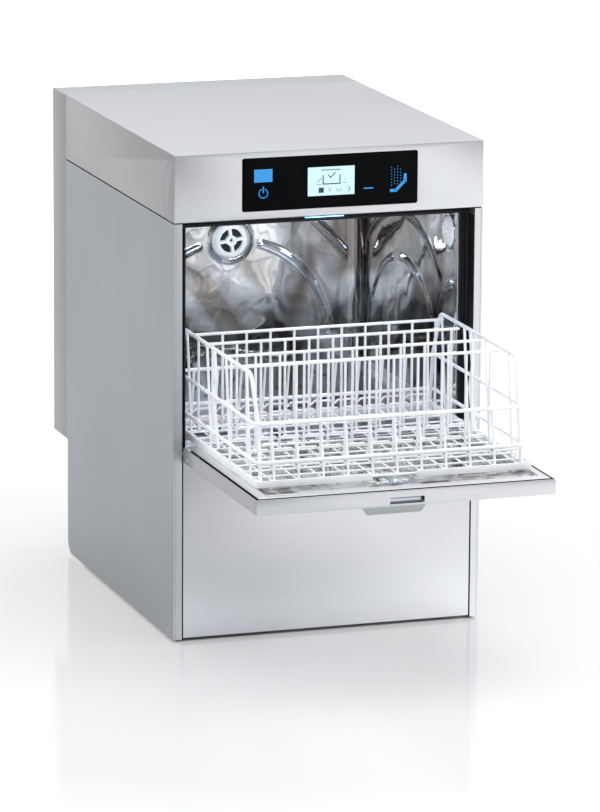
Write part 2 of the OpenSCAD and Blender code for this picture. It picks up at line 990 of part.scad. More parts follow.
module foot(x, y) {
    bar_z(x, y, 0, foot_pad_h, 20);
    bar_z(x, y, foot_pad_h - 1, 52, 5);
}

module front_left_foot() color("black") placed() foot(-foot_x, foot_front_y);
module front_right_foot() color("black") placed() foot(foot_x, foot_front_y);
module rear_left_foot() color("black") placed() foot(-foot_x, foot_rear_y);
module rear_right_foot() color("black") placed() foot(foot_x, foot_rear_y);

// ---- nodes ---------------------------------------------------------------

base_frame();
left_side_panel();
right_side_panel();
top_hood();
rear_housing();
rear_lower_panel();
front_service_panel();
front_bulkhead();
chamber_left_wall();
chamber_right_wall();
chamber_rear_wall();
chamber_roof();
tank_floor();
tank_sump();
door_gasket();
tank_strainer();
strainer_basket();
rack_rails();
chamber_vents();
control_glass();
control_display();
control_icons();
status_light();
control_board();
wash_pump();
pump_impeller();
wash_pipes();
rinse_boiler();
boiler_element();
tank_heater();
dosing_pumps();
drain_pump();
drain_outlet();
inlet_valve();
cable_gland();
arm_columns();
hinge_brackets();
cabinet_screws();
door_outer_pan();
door_inner_panel();
door_insulation();
door_grip();
door_hinge_arms();
door_screws();
rack_front_rod();
rack_base();
rack_hoops();
rack_side_rims();
rack_uprights();
rack_dividers();
lower_wash_arm();
lower_rinse_arm();
upper_wash_arm();
upper_rinse_arm();
front_left_foot();
front_right_foot();
rear_left_foot();
rear_right_foot();
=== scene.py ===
import json
import math

import bmesh
import bpy
from mathutils import Matrix, Vector


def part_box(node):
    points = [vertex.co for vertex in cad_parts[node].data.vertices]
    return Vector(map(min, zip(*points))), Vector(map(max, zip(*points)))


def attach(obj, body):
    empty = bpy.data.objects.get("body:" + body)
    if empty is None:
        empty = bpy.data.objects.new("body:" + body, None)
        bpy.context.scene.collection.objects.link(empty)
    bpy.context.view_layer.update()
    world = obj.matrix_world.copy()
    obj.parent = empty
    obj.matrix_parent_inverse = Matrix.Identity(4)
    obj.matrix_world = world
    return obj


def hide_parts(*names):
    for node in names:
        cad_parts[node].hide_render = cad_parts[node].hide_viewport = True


# Looks of an undercounter glass-washer with its door open and level.
# Shapes are laid out in millimetres in the frame's own axes: x to the right,
# y to the back, z up. Places come from the boxes of the CAD nodes.

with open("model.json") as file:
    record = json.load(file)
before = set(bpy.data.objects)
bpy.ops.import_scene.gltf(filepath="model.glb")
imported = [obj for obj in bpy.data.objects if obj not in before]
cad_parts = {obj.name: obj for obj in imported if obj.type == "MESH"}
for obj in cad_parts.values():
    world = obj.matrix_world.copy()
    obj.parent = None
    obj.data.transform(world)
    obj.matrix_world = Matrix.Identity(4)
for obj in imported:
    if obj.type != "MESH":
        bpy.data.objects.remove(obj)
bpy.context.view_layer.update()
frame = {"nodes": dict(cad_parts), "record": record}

MM = 0.001
SHEET = 1.2
PAST = 5  # how far a cutter reaches past the metal it cuts
UP, BACK = (0, 0, 1), (0, 1, 0)


# ---- mesh kit --------------------------------------------------------------

class Box:
    """A CAD node's box at rest, in millimetres."""

    def __init__(self, node):
        low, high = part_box(node)
        self.low = [c / MM for c in low]
        self.high = [c / MM for c in high]
        self.x0, self.y0, self.z0 = self.low
        self.x1, self.y1, self.z1 = self.high
        self.middle = [(a + b) / 2 for a, b in zip(self.low, self.high)]


FRONT = Box("top_hood").y0


def deep(depth):
    """The y of a place that lies `depth` behind the cabinet's front face."""
    return FRONT + depth


def arc(centre, radius, start, end, steps=8):
    """Points (u, v) along an arc, with angles in degrees."""
    turns = [math.radians(start + (end - start) * i / steps) for i in range(steps + 1)]
    return [(centre[0] + radius * math.cos(t), centre[1] + radius * math.sin(t)) for t in turns]


def spaced(low, high, step):
    """Even places from low to high, about a step apart."""
    count = round((high - low) / step)
    return [low + (high - low) * i / count for i in range(count + 1)]


def smooth_step(value, low, high):
    """0 below low, 1 above high, and an S-curve between them."""
    t = min(max((value - low) / (high - low), 0.0), 1.0)
    return t * t * (3 - 2 * t)


def standing(centre, axis):
    """The matrix that stands a shape built along z on a centre, along an axis."""
    return Matrix.Translation(centre) @ Vector(axis).to_track_quat("Z", "Y").to_matrix().to_4x4()


def rounded_rectangle(u0, v0, u1, v1, radius, steps=5):
    """The outline of a rectangle with round corners."""
    left, right, low, high = u0 + radius, u1 - radius, v0 + radius, v1 - radius
    corners = (((right, high), 0), ((left, high), 90), ((left, low), 180), ((right, low), 270))
    return [p for centre, turn in corners for p in arc(centre, radius, turn, turn + 90, steps)]


def filleted(points, radius, steps=6, closed=False):
    """A path through the points with its corners rounded."""
    points = [Vector(p) for p in points]
    path = []
    for i, corner in enumerate(points):
        if not closed and i in (0, len(points) - 1):
            path.append(corner)
            continue
        before = points[i - 1] - corner
        after = points[(i + 1) % len(points)] - corner
        reach = min(radius / math.tan(before.angle(after) / 2), before.length / 2, after.length / 2)
        start = corner + before.normalized() * reach
        end = corner + after.normalized() * reach
        for step in range(steps + 1):
            t = step / steps
            path.append(start * (1 - t) ** 2 + corner * 2 * t * (1 - t) + end * t * t)
    return path


class Shape:
    """A mesh in the making, in millimetres."""

    def __init__(self):
        self.bm = bmesh.new()

    def block(self, low, high, round_by=0.0, steps=3):
        """A box between two corners, its edges rounded if asked."""
        low, high = Vector(low), Vector(high)
        size = high - low
        place = Matrix.Translation((low + high) / 2) @ Matrix.Diagonal((*size, 1))
        made = bmesh.ops.create_cube(self.bm, size=1, matrix=place)
        if round_by:
            edges = list({e for v in made["verts"] for e in v.link_edges})
            bmesh.ops.bevel(
                self.bm, geom=edges, offset=round_by, segments=steps,
                profile=0.5, affect="EDGES",
            )
        return self

    def rings(self, rings, closed=False, caps=True):
        """Skins a row of rings of points; a ring of one point is a tip."""
        made = [[self.bm.verts.new(p) for p in ring] for ring in rings]
        pairs = list(zip(made, made[1:]))
        if closed:
            pairs.append((made[-1], made[0]))
        for one, two in pairs:
            count = max(len(one), len(two))
            for i in range(count):
                j = (i + 1) % count
                corners = []
                for v in (one[i % len(one)], one[j % len(one)], two[j % len(two)], two[i % len(two)]):
                    if v not in corners:
                        corners.append(v)
                self.bm.faces.new(corners)
        if caps and not closed:
            for ring in (made[0], made[-1]):
                if len(ring) > 2:
                    self.bm.faces.new(ring)
        return self

    def tube(self, path, radius, sides=12, closed=False, dome=True):
        """A round wire along a path, with domed ends."""
        path = [Vector(p) for p in path]
        radii = [radius] * len(path)
        if dome and not closed:
            first = (path[0] - path[1]).normalized()
            last = (path[-1] - path[-2]).normalized()
            path = [path[0] + first * radius * 0.5, *path, path[-1] + last * radius * 0.5]
            radii = [radius * 0.55, *radii, radius * 0.55]
        count = len(path)
        across = None
        rings = []
        for i, point in enumerate(path):
            before = path[i - 1] if closed or i else point
            after = path[(i + 1) % count] if closed or i < count - 1 else point
            along = (after - before).normalized()
            across = along.orthogonal() if across is None else across - along * across.dot(along)
            across.normalize()
            other = along.cross(across)
            turns = [2 * math.pi * k / sides for k in range(sides)]
            rings.append([
                point + (across * math.cos(t) + other * math.sin(t)) * radii[i] for t in turns
            ])
        return self.rings(rings, closed=closed)

    def lathe(self, outline, centre, axis=(0, 0, 1), steps=40, closed=False):
        """A turned body from (radius, height) points about an axis."""
        place = standing(centre, axis)
        rings = []
        for radius, height in outline:
            count = steps if radius > 1e-6 else 1
            turns = [2 * math.pi * k / count for k in range(count)]
            rings.append([
                place @ Vector((radius * math.cos(t), radius * math.sin(t), height)) for t in turns
            ])
        return self.rings(rings, closed=closed)

    def prism(self, outline, low, high, axis):
        """An outline of (u, v) points pushed along x, y or z."""
        order = {"x": lambda w, u, v: (w, u, v), "y": lambda w, u, v: (u, w, v),
                 "z": lambda w, u, v: (u, v, w)}[axis]
        return self.rings([[order(w, u, v) for u, v in outline] for w in (low, high)])

    def stroke(self, path, width, back, face):
        """A flat line of even width facing the front, along (x, z) points."""
        points = [Vector(p) for p in path]
        for a, b in zip(points, points[1:]):
            along = (b - a).normalized() * (width / 2)
            side = Vector((-along.y, along.x))
            outline = (a - along - side, b + along - side, b + along + side, a - along + side)
            self.prism([tuple(p) for p in outline], back, face, "y")
        return self

    def grid(self, columns, rows, place):
        """A sheet of faces; place(column, row) gives each corner."""
        net = [[self.bm.verts.new(place(c, r)) for c in columns] for r in rows]
        for low, high in zip(net, net[1:]):
            for i in range(len(columns) - 1):
                self.bm.faces.new((low[i], low[i + 1], high[i + 1], high[i]))
        return self

    def mirrored(self):
        """Adds a copy of everything on the other side of x = 0."""
        made = bmesh.ops.duplicate(self.bm, geom=self.bm.verts[:] + self.bm.edges[:] + self.bm.faces[:])
        verts = [g for g in made["geom"] if isinstance(g, bmesh.types.BMVert)]
        for v in verts:
            v.co.x = -v.co.x
        faces = [g for g in made["geom"] if isinstance(g, bmesh.types.BMFace)]
        bmesh.ops.reverse_faces(self.bm, faces=faces)
        return self

    def object(self, name):
        """The shape as a scene object, still in millimetres."""
        bmesh.ops.recalc_face_normals(self.bm, faces=self.bm.faces)
        mesh = bpy.data.meshes.new(name)
        self.bm.to_mesh(mesh)
        made = bpy.data.objects.new(name, mesh)
        bpy.context.scene.collection.objects.link(made)
        return made


def combined(shape, *tools, operation="DIFFERENCE"):
    """The result of a boolean between a shape and each tool in turn."""
    for tool in tools:
        target, cutter = shape.object("target"), tool.object("cutter")
        modifier = target.modifiers.new("cut", "BOOLEAN")
        modifier.object = cutter
        modifier.operation = operation
        modifier.solver = "EXACT"
        bpy.context.view_layer.update()
        graph = bpy.context.evaluated_depsgraph_get()
        shape = Shape()
        shape.bm.from_mesh(target.evaluated_get(graph).to_mesh())
        for used in (target, cutter):
            bpy.data.objects.remove(used)
    return shape


def sheet_tray(low, high, wall, open_end, round_by):
    """A round-edged box of sheet metal, open at one end, such as "y1"."""
    inner_low, inner_high = [c + wall for c in low], [c - wall for c in high]
    axis = "xyz".index(open_end[0])
    if open_end[1] == "1":
        inner_high[axis] = high[axis] + PAST
    else:
        inner_low[axis] = low[axis] - PAST
    return combined(Shape().block(low, high, round_by), Shape().block(inner_low, inner_high))


def piece(name, body, material, shape, nodes=(), edge=0.0, shell=0.0, smooth=40):
    """Turns a shape into a named piece that rides on a body."""
    bmesh.ops.scale(shape.bm, vec=(MM, MM, MM), verts=shape.bm.verts)
    made = shape.object(name)
    mesh = made.data
    mesh.materials.append(material)
    mesh.polygons.foreach_set("use_smooth", [True] * len(mesh.polygons))
    mesh.set_sharp_from_angle(angle=math.radians(smooth))
    if shell:
        solid = made.modifiers.new("thickness", "SOLIDIFY")
        solid.thickness = shell * MM
        solid.offset = -1
    if edge:
        bevel = made.modifiers.new("edges", "BEVEL")
        bevel.width = edge * MM
        bevel.segments = 2
        bevel.limit_method = "ANGLE"
        bevel.angle_limit = math.radians(smooth)
        bevel.harden_normals = True
    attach(made, body)
    if nodes:
        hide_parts(*nodes)
    return made


# ---- material kit ----------------------------------------------------------

class Graph:
    """The nodes of a material or of the world; values are plain or node outputs."""

    def __init__(self, tree, coordinates):
        self.nodes, self.links = tree.nodes, tree.links
        self.place = self.nodes.new("ShaderNodeTexCoord").outputs[coordinates]

    def join(self, value, socket):
        """Links a node output to a socket, or sets it to a plain value."""
        if isinstance(value, bpy.types.NodeSocket):
            self.links.new(value, socket)
        elif isinstance(value, (tuple, list)) and len(value) == 3 and len(socket.default_value) == 4:
            socket.default_value = (*value, 1)
        else:
            socket.default_value = value

    def along(self, direction):
        """How far in metres a place lies along a direction."""
        node = self.nodes.new("ShaderNodeVectorMath")
        node.operation = "DOT_PRODUCT"
        self.links.new(self.place, node.inputs[0])
        node.inputs[1].default_value = direction
        return node.outputs["Value"]

    def spread(self, value, low, high, lowest=0.3, highest=0.7):
        """Maps lowest..highest of a value onto low..high."""
        node = self.nodes.new("ShaderNodeMapRange")
        self.links.new(value, node.inputs["Value"])
        ends = {"From Min": lowest, "From Max": highest, "To Min": low, "To Max": high}
        for key, number in ends.items():
            node.inputs[key].default_value = number
        return node.outputs["Result"]

    def math(self, operation, one, two):
        """The result of a sum on two values."""
        node = self.nodes.new("ShaderNodeMath")
        node.operation = operation
        self.join(one, node.inputs[0])
        self.join(two, node.inputs[1])
        return node.outputs[0]

    def tint(self, value, first, second):
        """A colour between two, picked by a value from 0 to 1."""
        node = self.nodes.new("ShaderNodeMix")
        node.data_type = "RGBA"
        self.join(value, node.inputs[0])
        self.join(first, node.inputs[6])
        self.join(second, node.inputs[7])
        return node.outputs[2]


class Look(Graph):
    """A principled material."""

    def __init__(self, name, inputs):
        self.material = bpy.data.materials.new(name)
        self.material.use_nodes = True
        super().__init__(self.material.node_tree, "Object")
        self.surface = self.nodes["Principled BSDF"]
        self.relief = None
        self.set(inputs)

    def set(self, inputs):
        """Gives the surface's inputs their values."""
        for key, value in inputs.items():
            self.join(value, self.surface.inputs[key])

    def finish(self, tone, first, second, rough, smoothest, roughest):
        """Sets a colour between two by one value, and the roughness by another."""
        self.set({
            "Base Color": self.tint(self.spread(tone, 0, 1), first, second),
            "Roughness": self.spread(rough, smoothest, roughest),
        })

    def stretched(self, stretch):
        """Places scaled along each axis; under 1 draws a pattern out."""
        mapping = self.nodes.new("ShaderNodeMapping")
        mapping.inputs["Scale"].default_value = stretch
        self.links.new(self.place, mapping.inputs["Vector"])
        return mapping.outputs["Vector"]

    def noise(self, scale, stretch=(1, 1, 1), detail=2.0, swirl=0.0):
        """Soft random values about 0.5, `scale` features to a metre."""
        node = self.nodes.new("ShaderNodeTexNoise")
        node.inputs["Distortion"].default_value = swirl
        self.join(self.stretched(stretch), node.inputs["Vector"])
        node.inputs["Scale"].default_value = scale
        node.inputs["Detail"].default_value = detail
        return node.outputs["Fac"]

    def cells(self, scale, stretch=(1, 1, 1)):
        """Distance to the nearest of `scale` random points to a metre."""
        node = self.nodes.new("ShaderNodeTexVoronoi")
        self.join(self.stretched(stretch), node.inputs["Vector"])
        node.inputs["Scale"].default_value = scale
        return node.outputs["Distance"]

    def waves(self, scale, axis="X", kind="BANDS"):
        """Even stripes across an axis, from 0 to 1."""
        node = self.nodes.new("ShaderNodeTexWave")
        node.wave_type = kind
        node.bands_direction = axis
        self.join(self.place, node.inputs["Vector"])
        node.inputs["Scale"].default_value = scale
        return node.outputs["Fac"]

    def sideways(self):
        """1 on faces that look left or right, 0 on the others."""
        normal = self.nodes.new("ShaderNodeNewGeometry").outputs["True Normal"]
        split = self.nodes.new("ShaderNodeSeparateXYZ")
        self.links.new(normal, split.inputs[0])
        return self.math("ABSOLUTE", split.outputs[0], 0.0)

    def distance(self):
        """Distance in metres from the frame's origin."""
        node = self.nodes.new("ShaderNodeVectorMath")
        node.operation = "LENGTH"
        self.links.new(self.place, node.inputs[0])
        return node.outputs["Value"]

    def bump(self, height, depth):
        """Adds relief of `depth` millimetres."""
        node = self.nodes.new("ShaderNodeBump")
        node.inputs["Distance"].default_value = depth * MM
        self.links.new(height, node.inputs["Height"])
        if self.relief is not None:
            self.links.new(self.relief, node.inputs["Normal"])
        self.relief = node.outputs["Normal"]
        self.links.new(self.relief, self.surface.inputs["Normal"])
        return self


def shade(colour, factor):
    """A colour made darker or brighter."""
    return tuple(min(1.0, c * factor) for c in colour)


def brushed(name, colour, grain, roughness, contrast=0.04, painted_side_shade=0.62):
    """Brushed stainless: long fine scratches along one axis, smudges, and painted shade on faces that
    look left or right.
    """
    look = Look(name, {"Metallic": 1.0})
    stretch = [1.0, 1.0, 1.0]
    stretch[grain] = 0.012
    fine = look.noise(1000, stretch)
    broad = look.noise(260, stretch)
    smudge = look.noise(5.5, detail=4)
    grainy = look.math("ADD", look.math("MULTIPLY", fine, 0.75), look.math("MULTIPLY", broad, 0.25))
    tone = look.tint(
        look.spread(grainy, 0, 1), shade(colour, 1 - contrast), shade(colour, 1 + contrast)
    )
    tone = look.tint(look.spread(smudge, 0, 0.35), tone, shade(colour, 0.93))
    # Painted shade: faces that look left or right take a darker colour.
    tone = look.tint(look.sideways(), tone, shade(colour, painted_side_shade))
    rough = look.math(
        "ADD", look.spread(grainy, roughness - 0.02, roughness + 0.02),
        look.spread(smudge, -0.02, 0.03),
    )
    look.set({"Base Color": tone, "Roughness": rough})
    look.bump(fine, 0.012)
    look.bump(look.noise(3.0, detail=1), 0.5)
    return look.material


def polished(name, colour, roughness, ripple, ripple_scale=16, dark=None, swirl_scale=5):
    """Mirror-bright pressed steel: slow ripples, wipe marks, and dark swirls of painted reflection."""
    look = Look(name, {"Metallic": 1.0})
    wipe = look.noise(60, (1, 1, 0.2), detail=5)
    stain = look.noise(9, detail=3)
    tone = look.tint(look.spread(stain, 0, 1), colour, shade(colour, 0.86))
    # Painted reflection: dark swirls in the colour stand for a dark room mirrored in the steel.
    if dark:
        swirl = look.spread(look.noise(swirl_scale, (1, 1, 0.6), detail=1, swirl=2.5), 0, 1, 0.42, 0.60)
        tone = look.tint(swirl, tone, dark)
    look.set({
        "Base Color": tone,
        "Roughness": look.math(
            "ADD", look.spread(wipe, roughness * 0.7, roughness * 1.4),
            look.spread(stain, 0, 0.03),
        ),
    })
    look.bump(look.noise(ripple_scale / 3, detail=1), ripple * 2.5)
    look.bump(look.noise(ripple_scale, detail=1.5), ripple)
    look.bump(look.noise(700, (1, 1, 0.3)), 0.004)
    return look.material


def worked_metal(name, colour, roughness):
    """Plain rolled or machined metal with a mottled mill finish."""
    look = Look(name, {"Metallic": 1.0})
    mottle = look.noise(45, detail=5)
    scratch = look.noise(800, (1, 0.05, 1))
    look.finish(
        mottle, shade(colour, 0.88), shade(colour, 1.08), scratch, roughness - 0.06, roughness + 0.08
    )
    look.bump(scratch, 0.02)
    return look.material


def moulded(name, colour, roughness, grain=0.03, coat=0.0, glow=0.0):
    """Moulded plastic: fine spark-eroded grain and slight colour drift; a glow, where given, is painted
    light.
    """
    look = Look(name, {
        "Coat Weight": coat, "Coat Roughness": 0.15, "Emission Color": colour, "Emission Strength": glow,
    })
    drift = look.noise(14, detail=3)
    speck = look.noise(1500, detail=2)
    look.finish(
        drift, shade(colour, 0.92), shade(colour, 1.06), speck, roughness - 0.05, roughness + 0.05
    )
    look.bump(speck, grain)
    return look.material


def coated_wire():
    """White dip coating: glossy, with slow sags in its thickness, dirt, and a faint glow that is painted
    light.
    """
    look = Look("white_coating", {
        "Coat Weight": 0.5, "Coat Roughness": 0.12, "Subsurface Weight": 0.06,
        "Subsurface Radius": (0.002, 0.002, 0.002), "Subsurface Scale": 1.0,
    })
    sag = look.noise(120, detail=2)
    grime_and_glow = look.noise(22, detail=4)
    look.set({
        "Base Color": look.tint(
            look.spread(grime_and_glow, 0, 1, 0.45, 0.75), (0.96, 0.97, 0.98), (0.88, 0.9, 0.91)
        ),
        "Roughness": look.spread(sag, 0.24, 0.36),
        # Painted light: a faint bluish white glow brightens the wires, a little less where they are
        # dirtier.
        "Emission Color": (0.92, 0.96, 1.0),
        "Emission Strength": look.spread(grime_and_glow, 0.13, 0.10),
    })
    look.bump(sag, 0.35)
    return look.material


def rubber(name, colour, ribs=0.0):
    """Matt rubber with a dusty bloom, and ribs along z for hoses."""
    look = Look(name, {"Specular IOR Level": 0.35})
    bloom = look.noise(30, detail=5)
    dusty = tuple(c + 0.012 for c in colour)
    look.finish(bloom, colour, dusty, bloom, 0.5, 0.68)
    look.bump(look.noise(900), 0.03)
    if ribs:
        look.bump(look.waves(ribs, "Z"), 0.5)
    return look.material


def black_glass():
    """Glossy black-backed glass with faint smears."""
    look = Look("black_backed_glass", {"Specular IOR Level": 0.04})
    smear = look.noise(26, (1, 1, 0.5), detail=5)
    look.finish(smear, (0.001, 0.0013, 0.002), (0.002, 0.0023, 0.003), smear, 0.03, 0.10)
    return look.material


def lit(name, colour, strength, pixels=0.0, edge=0.9):
    """A light-emitting surface, slightly uneven, with optional pixels."""
    look = Look(name, {"Base Color": shade(colour, 0.3), "Roughness": 0.25})
    uneven = look.spread(look.noise(35, detail=2), edge * strength, strength)
    if pixels:
        dots = look.math("MULTIPLY", look.waves(pixels, "X"), look.waves(pixels, "Z"))
        uneven = look.math("MULTIPLY", uneven, look.spread(dots, 0.96, 1.0, 0.0, 1.0))
    look.set({"Emission Color": colour, "Emission Strength": uneven})
    return look.material


def circuit_board():
    """Green lacquer over copper tracks."""
    look = Look("lacquered_board", {"Coat Weight": 0.6, "Coat Roughness": 0.1})
    tracks = look.math("MAXIMUM", look.waves(90, "X"), look.waves(70, "Z"))
    look.set({
        "Base Color": look.tint(
            look.spread(tracks, 0, 1, 0.93, 0.97), (0.015, 0.11, 0.045), (0.05, 0.26, 0.09)
        ),
        "Roughness": look.spread(look.noise(300), 0.3, 0.45),
    })
    look.bump(tracks, 0.06)
    return look.material


def foam():
    """Closed-cell foam in a black film skin, pitted by small bubbles."""
    look = Look("film_faced_foam", {"Roughness": 0.8})
    bubbles = look.cells(420)
    pitted = look.spread(bubbles, 0, 1, 0.0, 0.6)
    look.set({"Base Color": look.tint(pitted, (0.008, 0.008, 0.009), (0.02, 0.02, 0.021))})
    look.bump(bubbles, 0.5)
    return look.material


def heat_tinted():
    """Heating-rod sheath with straw and blue heat tints."""
    look = Look("heat_tinted_sheath", {"Metallic": 1.0})
    straw, blue = (0.55, 0.42, 0.27), (0.34, 0.36, 0.45)
    look.finish(look.noise(24, detail=3), straw, blue, look.noise(500), 0.3, 0.5)
    look.bump(look.noise(500), 0.02)
    return look.material


X_GRAIN, Z_GRAIN = 0, 2
BRIGHT = (0.72, 0.73, 0.745)
SATIN = (0.62, 0.64, 0.65)
LINER = (0.80, 0.82, 0.84)

FRONT_STEEL = brushed("front_brushed_steel", (0.73, 0.74, 0.755), X_GRAIN, 0.34, 0.025, painted_side_shade=0.50)
DOOR_STEEL = brushed("door_brushed_steel", BRIGHT, X_GRAIN, 0.32, contrast=0.03)
# The side skins share one satin steel in two copies: the left skin's darker colour is painted shade and
# the right skin's lighter colour is painted light.
SKIN_STEEL = {
    -1: brushed("left_shaded_satin_steel", (0.57, 0.59, 0.60), Z_GRAIN, 0.42, 0.03, painted_side_shade=0.71),
    1: brushed("right_lit_satin_steel", (0.78, 0.79, 0.80), Z_GRAIN, 0.42, 0.03, painted_side_shade=0.56),
}
# The door tray's rim steel: its near-white colour is painted light.
PAINTED_LIGHT_RIM_STEEL = brushed("rim_steel_painted_light", (0.97, 0.975, 0.98), X_GRAIN, 0.5, contrast=0.02)
REAR_STEEL = brushed("rear_satin_steel", SATIN, Z_GRAIN, 0.42, contrast=0.03)
# Painted reflections: the dark colours given to the liner and the tray make swirls that stand for a dark
# room seen in the steel.
LINER_STEEL = polished(
    "polished_liner_steel", LINER, 0.04, 2.2, ripple_scale=13, dark=(0.35, 0.315, 0.29)
)
# The tray's base colour is darker than the liner's: painted shade under the rack.
TRAY_STEEL = polished(
    "polished_tray_steel", (0.68, 0.68, 0.665), 0.08, 0.3, ripple_scale=28,
    dark=(0.16, 0.14, 0.125), swirl_scale=14,
)
ARM_STEEL = polished("spray_arm_steel", (0.68, 0.69, 0.70), 0.2, 0.1, ripple_scale=60)
GRIP_STEEL = brushed("grip_satin_steel", (0.43, 0.47, 0.48), X_GRAIN, 0.3)
POCKET_STEEL = brushed("pocket_steel", (0.6, 0.65, 0.67), X_GRAIN, 0.25)
PLAIN_STEEL = worked_metal("plain_stainless", (0.62, 0.63, 0.64), 0.36)
BRASS = worked_metal("machined_brass", (0.70, 0.52, 0.25), 0.3)
SEAL = rubber("black_seal_rubber", (0.006, 0.006, 0.007))
HOSE = rubber("ribbed_hose_rubber", (0.03, 0.03, 0.03), ribs=30)
WIRE = coated_wire()
# The vent plastic's glow is painted light inside the dim chamber.
VENT_WHITE = moulded("vent_white_plastic", (0.86, 0.88, 0.90), 0.3, coat=0.3, glow=0.28)
BLACK_NYLON = moulded("black_nylon", (0.03, 0.03, 0.032), 0.5, grain=0.06)
PUMP_PLASTIC = moulded("glass_filled_plastic", (0.06, 0.065, 0.07), 0.5, grain=0.08)
DOSING_BLUE = moulded("dosing_blue_plastic", (0.05, 0.13, 0.33), 0.42)
GLASS = black_glass()
SCREEN = lit("screen_glow", (0.60, 0.83, 0.86), 0.95, pixels=160)
SCREEN_INK = moulded("screen_ink", (0.03, 0.055, 0.07), 0.5, grain=0.0)
ICON_BLUE = lit("icon_blue", (0.03, 0.33, 0.80), 0.75)
LIGHT_BLUE = lit("status_blue", (0.20, 0.48, 1.0), 9.0)

BY_SLOT = {
    "brushed_panel": FRONT_STEEL,
    "satin_panel": REAR_STEEL,
    "polished_liner": LINER_STEEL,
    "plain_steel": PLAIN_STEEL,
    "grip_metal": GRIP_STEEL,
    "heater_metal": heat_tinted(),
    "black_seal": SEAL,
    "foot_plastic": BLACK_NYLON,
    "black_glass": GLASS,
    "screen": SCREEN,
    "blue_icon": ICON_BLUE,
    "blue_light": LIGHT_BLUE,
    "vent_plastic": VENT_WHITE,
    "white_wire": WIRE,
    "circuit_board": circuit_board(),
    "pump_plastic": PUMP_PLASTIC,
    "pipe_rubber": HOSE,
    "dosing_plastic": DOSING_BLUE,
    "valve_brass": BRASS,
    "gland_plastic": BLACK_NYLON,
    "foam": foam(),
}
SLOT_OF = {row["node"]: row["material_slot"] for row in frame["record"]["subparts"]}


def finish_cad_nodes():
    """Gives every CAD node the material of its slot."""
    for name, node in frame["nodes"].items():
        node.data.materials.clear()
        node.data.materials.append(BY_SLOT[SLOT_OF[name]])


# ---- cabinet ---------------------------------------------------------------

def hood_shell():
    """Top and front band in one folded sheet, with the window for the glass."""
    hood, glass = Box("top_hood"), Box("control_glass")
    fold, base_lip, base_cut = 1.8, 20, 3
    clear, window_corner = 0.4, 3.4
    open_base = Shape().block(
        (hood.x0 + SHEET, hood.y0 + base_lip, hood.z0 - PAST),
        (hood.x1 - SHEET, hood.y1 + PAST, hood.z0 + base_cut),
    )
    outline = rounded_rectangle(
        glass.x0 - clear, glass.z0 - clear, glass.x1 + clear, glass.z1 + clear, window_corner
    )
    window = Shape().prism(outline, hood.y0 - PAST, hood.y0 + PAST, "y")
    shell = sheet_tray(hood.low, hood.high, SHEET, "y1", fold)
    shell = combined(shell, open_base, window, corner_seams(hood))
    piece("hood_shell", "cabinet", FRONT_STEEL, shell, ("top_hood",), edge=0.25)


def corner_seams(box):
    """Cutters for the curved seams on the sides, where the front band is folded round."""
    start, below_top, radius = 6, 10, 38
    half_gap, depth = 0.35, 0.4
    y, z = box.y0 + start, box.z1 - below_top - radius
    outline = [
        *arc((y, z), radius + half_gap, 90, 0, 12), (y + radius + half_gap, box.z0 - PAST),
        (y + radius - half_gap, box.z0 - PAST), *arc((y, z), radius - half_gap, 0, 90, 12),
    ]
    return Shape().prism(outline, box.x1 - depth, box.x1 + 1, "x").mirrored()


def side_skin(side):
    """A side panel: flat skin with the rear step, and a folded front edge."""
    panel = Box("right_side_panel")
    step_inset, step_z, foot_corner = 4.3, Box("rear_lower_panel").z1, 20
    top_gap, back_gap = 0.6, 0.3
    return_depth = 24
    seam_in, seam_width, seam_depth = 2.2, 0.9, 0.6
    fold_in, fold_width, fold_depth = 2.7, 0.7, 0.6
    top, back = panel.z1 - top_gap, panel.y1 - back_gap
    step_y = panel.y1 - step_inset
    outline = [
        (panel.y0, panel.z0),
        *arc((step_y - foot_corner, panel.z0 + foot_corner), foot_corner, 270, 360, 6),
        (step_y, step_z), (back, step_z), (back, top), (panel.y0, top),
    ]
    skin = Shape().prism(outline, panel.x1 - SHEET, panel.x1, "x")
    front_edge = Shape().block(panel.low, (panel.x1 - 0.4, panel.y0 + SHEET, top))
    return_edge = Shape().block(panel.low, (panel.x0 + SHEET, panel.y0 + return_depth, top))
    skin = combined(skin, front_edge, return_edge, operation="UNION")
    seam = Shape().block(
        (panel.x1 - seam_depth, panel.y0 + seam_in, panel.z0 - PAST),
        (panel.x1 + PAST, panel.y0 + seam_in + seam_width, top + PAST),
    )
    fold_line = Shape().block(
        (panel.x1 - fold_in - fold_width, panel.y0 - PAST, panel.z0 - PAST),
        (panel.x1 - fold_in, panel.y0 + fold_depth, top + PAST),
    )
    skin = combined(skin, seam, fold_line)
    where = "left" if side < 0 else "right"
    if side < 0:
        bmesh.ops.scale(skin.bm, vec=(-1, 1, 1), verts=skin.bm.verts)
    piece(f"side_skin_{where}", "cabinet", SKIN_STEEL[side], skin, (f"{where}_side_panel",), edge=0.4)


